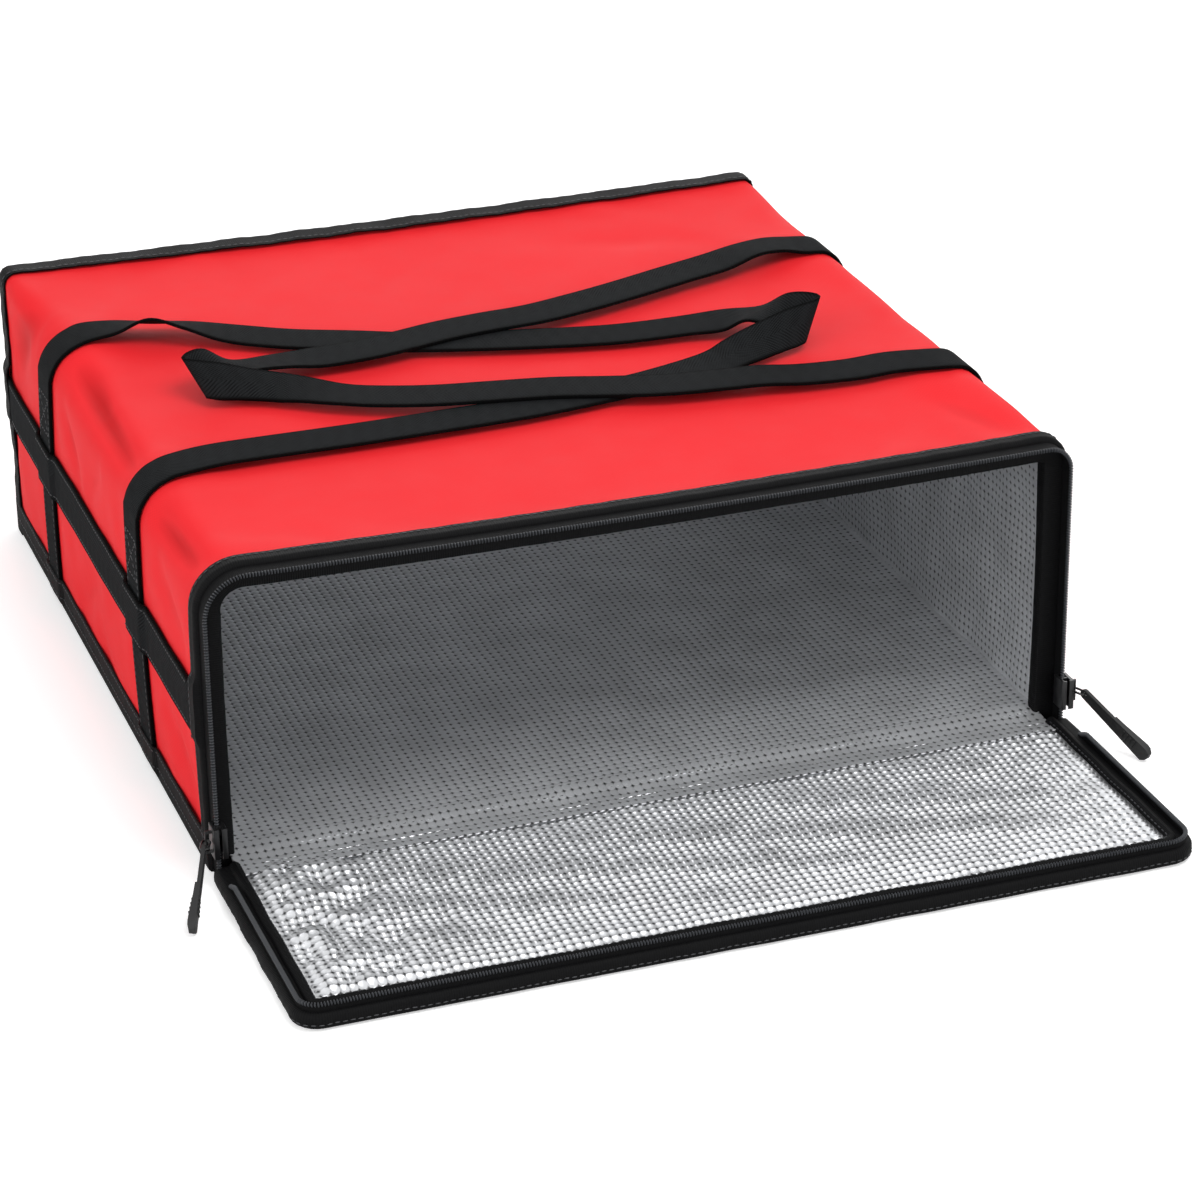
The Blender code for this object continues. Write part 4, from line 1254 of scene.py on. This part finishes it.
class BagStraps(bpy.types.Operator):
    """Builds both carry straps, each one webbing up one side, round the handle and down"""

    bl_idname = "delivery_bag.straps"
    bl_label = "Carry straps"

    def execute(self, context):
        lines = []
        for (word, side), route in zip(SIDES, (LEFT_ROUTE, RIGHT_ROUTE)):
            lines += self.strap(word, side, route)
        sew("stitching_straps", lines, "bag", sizes().web / 2 + WEB_LIFT)
        return {"FINISHED"}

    def side_knots(self, side, place):
        """Knots from the foot up the side and over its rounded edge."""
        s = sizes()
        top, foot = STRAP_PLACES[side, place]
        radius = float(rounding(side, np.array([top]))[0])
        bend = math.acos(max(1 - (s.width / 2 - SIDE_TOP) / radius, -1))
        heights = [0.004, 0.03, 0.055, 0.09]
        heights += [s.height - radius + turn * radius for turn in np.linspace(0, 1, 6) * bend]
        knots = []
        for q in heights:
            y = foot + (top - foot) * min(q / s.height, 1)
            spot = wrap(side, np.array([q]), np.array([y]), -GAP - s.web / 2)[0]
            knots.append((*spot, 0, 1, 0))
        return knots

    def top_knots(self, side, route):
        """Knots of the handle's loop, which lies on the top: a place and the way across it."""
        s = sizes()
        knots = []
        for reach, depth, layers, lean, turn in route:
            lean, turn = math.radians(lean), math.radians(turn)
            flat = math.cos(lean)
            width = (-side * flat * math.sin(turn), flat * math.cos(turn), math.sin(lean))
            rise = s.height + GAP + s.web / 2 * flat + layers * (s.web + GAP)
            rise += abs(width[2]) * s.web_width / 2
            knots.append((side * (HANDLE_ROOT - reach), depth, rise, *width))
        return knots

    def strap(self, word, side, route):
        s = sizes()
        rear, front = (self.side_knots(side, place) for place in ("rear", "front"))
        knots = [*rear, *self.top_knots(side, route), *reversed(front)]
        line, total = curve_through(knots, ROUTE_SPACING)
        middle, width = line[:, :3], line[:, 3:]
        width /= np.linalg.norm(width, axis=1)[:, None]
        stations = np.arange(len(line))

        def place(u, v):
            at = v * (len(line) - 1)
            edge = (2 * u - 1)[:, None] * s.web_width / 2
            return settle(rows_at(at, stations, middle) + rows_at(at, stations, width) * edge)

        piece = grid(f"webbing_{word}", 6, len(line) - 1, place, (s.web_width, total))
        nodes = (f"{word}_rear_strap", f"{word}_front_strap", f"{word}_handle")
        finish(piece, s.web, woven_webbing, None, nodes, WEB_EDGE)
        start, end = ((side * x, 0, s.height) for x in HANDLE_BEND)
        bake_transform(piece)
        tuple(start)
        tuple(end)
        foot, rise, box = ROW_START / total, ROW_END / total, BOX_START / total
        near, far = NEAR_EDGE, FAR_EDGE
        runs = [(near, near, foot, rise), (far, far, foot, rise), (near, far, box, box)]
        runs += [(near, far, rise, rise), (near, far, box, rise), (far, near, box, rise)]
        lines = []
        for a, b, start, end in runs:
            u, v = np.linspace(a, b, 300), np.linspace(start, end, 300)
            lines += [seam(place, u, one, from_body) for one in (v, 1 - v)]
        return lines


class BagBands(bpy.types.Operator):
    """Builds the level bands of webbing on both sides and across the back"""

    bl_idname = "delivery_bag.bands"
    bl_label = "Bands"

    def execute(self, context):
        s = sizes()
        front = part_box("left_side_band")[0].y - 0.006
        back = BACK_HIGH.y - 0.004
        lines = []
        for word, side in SIDES:

            def place(u, v, side=side):
                y = front + v * (back - front)
                wavy = 0.0006 * ripple(y * 0.6, u * 0.01, 1.0 + side)
                lift = 0
                for where in ("rear", "front"):
                    top, foot = STRAP_PLACES[side, where]
                    middle = foot + (top - foot) * BAND_HEIGHT / s.height
                    lift = lift + hump(y, middle, s.web_width / 2 + 0.001, 0.006)
                inset = -GAP - s.web / 2 - lift * (s.web + GAP)
                return settle(wrap(side, BAND_HEIGHT + (u - 0.5) * s.web_width + wavy, y, inset))

            piece = grid(f"webbing_{word}_band", 6, 170, place, (s.web_width, back - front))
            finish(piece, s.web, woven_webbing, "bag", (f"{word}_side_band",), WEB_EDGE)
            v = np.linspace(0.03, 0.97, 1200)
            lines += [seam(place, u, v, from_body) for u in (NEAR_EDGE, FAR_EDGE)]

        end = s.width / 2 - 0.0086

        def rear(u, v):
            x = (2 * v - 1) * end
            z = BAND_HEIGHT + (u - 0.5) * s.web_width
            return settle(np.stack([x, 0 * x + s.depth / 2 + GAP + s.web / 2, z], axis=-1))

        piece = grid("webbing_back_band", 6, 150, rear, (s.web_width, 2 * end))
        finish(piece, s.web, woven_webbing, "bag", ("back_band",), WEB_EDGE)
        v = np.linspace(0.01, 0.99, 1200)
        lines += [seam(rear, u, v, from_body) for u in (NEAR_EDGE, FAR_EDGE)]
        sew("stitching_bands", lines, "bag", s.web / 2 + WEB_LIFT)
        return {"FINISHED"}


# The flap's foil lies from FLAP_TOP up, and rises by no more than FOIL_RISE.
FLAP_TOP, FOIL_RISE = 0.0070, 0.0050
# The flap's coil stops short of the hinge, and its tape's ends bend down into the rim.
COIL_SHORT, DIVE, DIVE_LENGTH = 0.0175, 0.0030, 0.009


class BagFlap(bpy.types.Operator):
    """Builds the front flap: outer fabric, foil lining, binding, zipper tape and coil"""

    bl_idname = "delivery_bag.flap"
    bl_label = "Flap"

    def execute(self, context):
        self.outer()
        self.lining()
        self.rim()
        self.zipper()
        self.hinge()
        return {"FINISHED"}

    def outline(self, x, inset):
        """How far the flap reaches from the hinge at a place across it."""
        s = sizes()
        r = np.where(x < 0, s.flap_left, s.flap_right) - inset
        out = np.clip(np.abs(x) - (s.width / 2 - inset - r), 0, r)
        return s.height - HINGE[2] - inset - r + np.sqrt(np.maximum(r * r - out * out, 0))

    def panel(self, name, h, columns, rows, cloth, bump):
        """A sheet over the flap's outline at a height, raised by bump(x, y, edge), where edge is
        the distance to the sheet's border."""
        half = sizes().width / 2 - FLAP_INSET

        def place(u, v):
            x = (2 * u - 1) * half
            reach = self.outline(x, FLAP_INSET)
            y = HINGE[1] - GAP - v * (reach - GAP)
            z = h + bump(x, y, np.minimum(half - np.abs(x), np.minimum(v, 1 - v) * reach))
            return np.stack([x, y, z], axis=-1)

        return grid(name, columns, rows, place, cloth)

    def outer(self):
        s = sizes()
        wide, tall = s.width - 2 * FLAP_INSET, s.height - HINGE[2] - FLAP_INSET
        columns = 110

        def bump(x, y, edge):
            slack = 0.0013 * (1 + ripple(x * 0.45, y * 0.8, 0.3)) + 0.0002 * ripple(x * 1.4, y, 1.3)
            return smooth(edge / 0.03) * slack

        panel = self.panel("flap_outer", FABRIC / 2, columns, 40, (wide, tall), bump)
        relax(panel, columns, border_of(panel, 0.01), 16, 0.012, (0.0022, 0.0022), 12, 2)
        keep_between(panel, FABRIC / 2)
        finish(panel, FABRIC, coated_polyester, "front_flap", ("flap_panel", "flap_foam"))

    def lining(self):
        s = sizes()
        wide, tall = s.width - 2 * FLAP_INSET, s.height - HINGE[2] - FLAP_INSET
        cells, rows, cloth = pillows(wide, tall)

        def bump(x, y, edge):
            """Broad swells and short crumples, which are strongest at the flap's left end."""
            left, right = 1 - smooth((x + 0.19) / 0.08), smooth((x - 0.15) / 0.04)
            slack = 0.25 + 2.6 * left + 0.6 * right
            broad = ripple(x * 0.7, y * 0.7, 4.4)
            short = 1 - 2.4 * np.abs(ripple(x * 1.6 + 0.02 * broad, y * 1.1, 2.9))
            return smooth(edge / 0.012) * (0.0018 + 0.0010 * broad + 0.0014 * slack * short)

        lining = self.panel("flap_foil", FLAP_TOP, cells, rows, cloth, bump)
        relax(lining, cells, border_of(lining, 0.006), 18, 0.02, (0.0010, 0.0030))
        subdivide(lining, 2)
        keep_between(lining, FLAP_TOP - FOIL / 2, FLAP_TOP + FOIL_RISE)
        emboss(lining, 0.0011)
        finish(lining, FOIL, embossed_foil, "front_flap", ("flap_lining",))

    def rim(self):
        """The binding round the flap's three free edges, and its stitching."""
        around = around_body(-0.2) - 2 * HINGE[2]
        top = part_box("flap_binding")[1].z
        profile = np.array(
            [
                (0.0104, top + 0.0002),
                (0.0098, top + 0.0014),
                (0.0080, top + 0.0024),
                (0.0064, top + 0.0018),
                (0.0056, top + 0.0004),
                (0.0004, top + 0.0001),
                (-BINDING_MIDDLE + 0.0002, top - 0.0002),
                (-BINDING_MIDDLE - 0.0006, top - 0.0014),
                (-BINDING_MIDDLE - 0.0009, 0.0038),
                (-BINDING_MIDDLE - 0.0006, 0.0016),
                (-BINDING_MIDDLE + 0.0008, BINDING / 2 + 0.0001),
                (0.0082, BINDING / 2),
            ]
        )
        far = lengths_along(profile)

        def place(u, v):
            inset, h = rows_at(v * far[-1], far, profile).T
            outside = hump(h, 0.0037, 0.0014, 0.0012)
            wavy = 0.0003 * ripple(u * around * 1.5, h, 2.0)
            wavy += 0.0006 * outside * ripple(u * around * 2.6, h * 3, 6.0)
            # Only the ridge inside the coil is wavy upwards, so the sliders clear the closed flap.
            ridge = smooth((inset - 0.0056) / 0.001) * smooth((h - 0.004) / 0.003)
            points = flap_at(u, inset - wavy, h)
            points[:, 2] += 0.0005 * ridge * ripple(u * around * 0.8, h, 5.0)
            return points

        tape = grid("flap_binding_tape", 240, 34, place, (around, far[-1]), turned=True)
        finish(tape, BINDING, binding_tape, "front_flap", ("flap_binding",))
        u = np.linspace(0.004, 0.996, 3000)
        lines = [seam(place, u, 0.05, upwards), seam(place, u, 0.60, from_flap)]
        sew("stitching_flap", lines, "front_flap", BINDING / 2 + 0.00008)

    def zipper(self):
        around = around_body(-0.2) - 2 * HINGE[2]
        coil_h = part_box("flap_zipper_coil")[0].z + 0.0012
        start = 0.5 * (1 - (around - 2 * COIL_SHORT) / around)
        tape_h = 0.0072

        def dive(u):
            """How far the tape's ends bend down into the rim."""
            end = np.minimum(u, 1 - u) * around
            return DIVE * (1 - smooth(end / DIVE_LENGTH))

        def place(u, v):
            run = start + u * (1 - 2 * start)
            h = tape_h + v * (coil_h - tape_h)
            wavy = 0.0001 * ripple(run * around * 1.6, h, 7.0)
            return flap_at(run, COIL_INSET + wavy, h - dive(u))

        tape = grid("zipper_tape_flap", 240, 5, place, (around, 0.005), turned=True)
        finish(tape, TAPE, zipper_tape, "front_flap", ("flap_zipper_tape",))
        u = np.linspace(0, 1, 6000)
        run = start + u * (1 - 2 * start)

        def line(inset):
            return flap_at(run, np.full_like(run, inset), coil_h - dive(u))

        coil_row("zipper_coil_flap", line, "front_flap", "flap_zipper_coil", 1)

    def hinge(self):
        """The doubled fabric below and the foil above, along the flap's hinge."""
        s = sizes()
        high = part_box("flap_hinge_strip")[1]
        back, ahead = high.y + 0.004, HINGE[1] - 0.008

        def below(u, v):
            x = (2 * u - 1) * (s.width / 2 - 0.0006)
            y = back + v * (ahead - back)
            rise = 0.0006 * np.sin(math.pi * v) * (1 + 0.4 * ripple(x, y, 1.2))
            return np.stack([x, y, 0.0013 + rise], axis=-1)

        strip = grid("hinge_fabric", 120, 20, below, (s.width, back - ahead))
        finish(strip, HINGE_CLOTH, binding_tape, None, ("flap_hinge_strip",))
        start, end = (0, high.y - 0.001, 0), (0, HINGE[1] - 0.001, 0)
        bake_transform(strip)
        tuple(start)
        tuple(end)

        def above(u, v):
            x = (2 * u - 1) * (s.width / 2 - 0.0088)
            y = back + 0.004 + v * (ahead - 0.003 - back - 0.004)
            dip = 0.0016 * np.sin(math.pi * v) ** 2 * (1 + 0.5 * ripple(x, y, 3.9))
            return np.stack([x, y, 0.0082 - dip], axis=-1)

        cells = int(s.width / s.foil_pitch)
        foil = grid("hinge_foil", 3 * cells, 24, above, (cells * s.foil_pitch, 6 * s.foil_pitch))
        emboss(foil, 0.0004)
        finish(foil, FOIL, embossed_foil)
        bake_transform(foil)
        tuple(start)
        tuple(end)


# Grip of a pull: length, width and thickness, and how far its middle lies before the tab's end
GRIP_SIZE = (0.0250, 0.0040, 0.0068)
GRIP_BEFORE_END = 0.0122
RIBS, RIB_START, RIB_PITCH = 4, -0.0040, 0.0024

# Kinds of small hardware: node, piece, rounding of its edges, material and body
HARDWARE = (
    ("slider", "slider", 0.00035, enamelled_zinc, "slider_body"),
    ("pull_link", "link", 0.0001, enamelled_zinc, "link_body"),
    ("pull_tab", "pull", 0.0005, moulded_rubber, "tab_body"),
)


class BagSliders(bpy.types.Operator):
    """Gives the sliders, links and pull tabs their finish and rounded edges"""

    bl_idname = "delivery_bag.sliders"
    bl_label = "Sliders and pulls"

    def execute(self, context):
        for word, _ in SIDES:
            for node, name, edge, material, body in HARDWARE:
                piece = self.rounded(f"{word}_{node}", f"zipper_{name}_{word}", edge)
                dress(piece, material, f"{word}_{body}", (f"{word}_{node}",))
            self.grip(word)
        return {"FINISHED"}

    def rounded(self, node, name, edge):
        """A copy of a CAD node with its doubles merged and its edges rounded."""
        source = frame["nodes"][node]
        piece = source.copy()
        piece.data = source.data.copy()
        piece.name = piece.data.name = name
        piece.parent = None
        for key in list(piece.keys()):
            del piece[key]
        bpy.context.scene.collection.objects.link(piece)
        with editing(piece):
            bpy.ops.mesh.remove_doubles(threshold=0.00001)
            bpy.ops.mesh.dissolve_limited(angle_limit=math.radians(2))
        bevel(piece, edge, 3, 35)
        apply_all(piece)
        return piece

    def grip(self, word):
        """The moulded grip round the far part of a pull, with ribs for the fingers."""
        tilt = next(j for j in frame["joints"] if j["name"] == f"{word}_pull_tilt")
        eye = Vector(tilt["pos_m"])
        node = frame["nodes"][f"{word}_pull_tab"]
        places = [node.matrix_world @ v.co for v in node.data.vertices]
        places.sort(key=lambda p: (p - eye).length)
        far = sum(places[-8:], Vector()) / 8
        ahead = (far - eye).normalized()
        up = ahead.cross(Vector(tilt["axis"]).normalized()).normalized()
        turn = Matrix((ahead, up.cross(ahead), up)).transposed().to_4x4()
        piece = primitive(bpy.ops.mesh.primitive_cube_add, size=1)
        piece.name = piece.data.name = f"zipper_grip_{word}"
        with editing(piece):
            resize(GRIP_SIZE)
            bpy.ops.mesh.subdivide(number_cuts=11)
        points = coordinates(piece.data)
        back = smooth((GRIP_SIZE[0] / 2 - points[:, 0]) / GRIP_SIZE[0])
        tip = np.clip((points[:, 0] - 0.0085) / 0.0040, 0, 1) ** 2
        points[:, 1] *= (1 - 0.34 * back) * np.sqrt(1 - 0.6 * tip)
        points[:, 2] *= (1 - 0.22 * back) * np.sqrt(1 - 0.8 * tip)
        place_points(piece.data, points)
        bevel(piece, 0.0011, 4, 40)
        apply_all(piece)
        pick(piece, *(self.rib(number) for number in range(RIBS)))
        bpy.ops.object.join()
        middle = eye + ahead * ((far - eye).length - GRIP_BEFORE_END)
        piece.data.transform(Matrix.Translation(middle) @ turn)
        dress(piece, moulded_rubber, f"{word}_tab_body")

    def rib(self, number):
        """One rib across the grip, which grows wider towards the pull's end."""
        rib = primitive(bpy.ops.mesh.primitive_cube_add, size=1)
        with editing(rib):
            wide = 0.0037 + 0.0003 * number
            resize((0.0009, wide + 0.0003, 0.0042))
            bpy.ops.transform.translate(value=(RIB_START + RIB_PITCH * number, 0, 0))
        bevel(rib, 0.0003, 2, 30)
        apply_all(rib)
        return rib


# Lamps: place, power in watts and diameter. They face AIM.
LAMPS = {
    "key_light": ((0.7, -0.9, 2.3), 27, 1.6),
    "left_light": ((-2.3, -0.9, 1.2), 22, 1.6),
    "front_light": ((0.2, -2.5, 0.7), 13, 1.4),
    "back_light": ((0.65, 2.05, 1.0), 17, 2.3),
}
AIM = Vector((0, -0.05, 0.07))

# Camera: place, turn to the side, downward tilt and roll in degrees, and focal length in mm
CAMERA_PLACE = (-0.5578, -1.7174, 0.8572)
CAMERA_TURN = (19.42, 25.06, -0.71)
CAMERA_LENS = 117.27

WHITE = (1, 1, 1, 1)
WORLD_STRENGTH = 0.55


class BagStage(bpy.types.Operator):
    """Builds the pale floor, the soft lights, the world and the camera"""

    bl_idname = "delivery_bag.stage"
    bl_label = "Stage"

    def execute(self, context):
        scene = context.scene
        floor = primitive(bpy.ops.mesh.primitive_plane_add, size=80, location=(0, 0, -0.0002))
        floor.name = "studio_floor"
        floor.data.materials.append(self.paper())
        self.world(scene)
        for name, (place, power, size) in LAMPS.items():
            bpy.ops.object.light_add(type="AREA", location=place)
            lamp = context.object
            lamp.name = name
            lamp.data.energy = power
            lamp.data.shape = "DISK"
            lamp.data.size = size
            lamp.rotation_euler = (AIM - Vector(place)).to_track_quat("-Z", "Y").to_euler()
        bpy.ops.object.camera_add(location=CAMERA_PLACE)
        camera = context.object
        yaw, pitch, roll = (math.radians(a) for a in CAMERA_TURN)
        turn = Matrix.Rotation(-yaw, 3, "Z") @ Matrix.Rotation(math.pi / 2 - pitch, 3, "X")
        turn = turn @ Matrix.Rotation(roll, 3, "Z")
        camera.rotation_euler = turn.to_euler()
        camera.data.sensor_width = 36
        camera.data.lens = CAMERA_LENS
        camera.data.clip_end = 30
        scene.camera = camera
        scene.view_settings.view_transform = "Standard"
        return {"FINISHED"}

    def paper(self):
        """Seamless studio paper: matte and pale, a little brighter to the camera, and more so
        farther out."""
        material, tree, shader = new_material("seamless_paper")
        feed(tree, shader, {"Base Color": (*linear("#F4F4F4"), 1), "Roughness": 0.95})
        place = add(tree, "TexCoord").outputs["Object"]
        far = add(tree, "VectorMath", {0: place}, operation="LENGTH").outputs["Value"]
        reach = {"From Min": 0.6, "From Max": 3, "To Min": 0.42, "To Max": 0.62}
        level = add(tree, "MapRange", {"Value": far, **reach})
        glow = add(tree, "Emission", {"Color": WHITE, "Strength": level})
        both = add(tree, "AddShader", {0: shader, 1: glow})
        rays = add(tree, "LightPath").outputs
        mix = add(tree, "MixShader", {0: rays["Is Camera Ray"], 1: shader, 2: both})
        feed(tree, tree.nodes["Material Output"], {"Surface": mix})
        return material

    def world(self, scene):
        """A plain soft light from all sides, which the camera and reflections see as white."""
        scene.world = bpy.data.worlds.new("studio")
        scene.world.use_nodes = True
        tree = scene.world.node_tree
        plain = tree.nodes["Background"]
        feed(tree, plain, {"Color": WHITE, "Strength": WORLD_STRENGTH})
        rays = add(tree, "LightPath").outputs
        seen = rays["Is Camera Ray"]
        for kind in ("Is Glossy Ray", "Is Transmission Ray"):
            seen = add(tree, "Math", {0: seen, 1: rays[kind]}, operation="MAXIMUM")
        white = add(tree, "Background", {"Color": WHITE, "Strength": 1.0})
        mix = add(tree, "MixShader", {0: seen, 1: plain, 2: white})
        feed(tree, tree.nodes["World Output"], {"Surface": mix})


STEPS = (
    BagSleeve,
    BagLinings,
    BagBindings,
    BagZipper,
    BagStraps,
    BagBands,
    BagFlap,
    BagSliders,
    BagStage,
)


class BagPanel(bpy.types.Panel):
    """Lists the bag's sizes, colours and building steps"""

    bl_idname = "VIEW3D_PT_delivery_bag"
    bl_label = "Delivery bag"
    bl_space_type = "VIEW_3D"
    bl_region_type = "UI"
    bl_category = "Delivery bag"

    def draw(self, context):
        for group in (context.scene.bag_sizes, context.scene.bag_colours):
            for name in group.bl_rna.properties.keys():
                if name not in ("rna_type", "name"):
                    self.layout.prop(group, name)
        for step in STEPS:
            self.layout.operator(step.bl_idname)


CLASSES = (BagSizes, BagColours, *STEPS, BagPanel)


def register():
    for one in CLASSES:
        bpy.utils.register_class(one)
    bpy.types.Scene.bag_sizes = bpy.props.PointerProperty(type=BagSizes)
    bpy.types.Scene.bag_colours = bpy.props.PointerProperty(type=BagColours)


def unregister():
    del bpy.types.Scene.bag_colours
    del bpy.types.Scene.bag_sizes
    for one in reversed(CLASSES):
        bpy.utils.unregister_class(one)


def main():
    register()
    for step in STEPS:
        group, name = step.bl_idname.split(".")
        if getattr(getattr(bpy.ops, group), name)() != {"FINISHED"}:
            raise RuntimeError(f"{step.bl_label} could not be built")


if __name__ == "__main__":
    main()
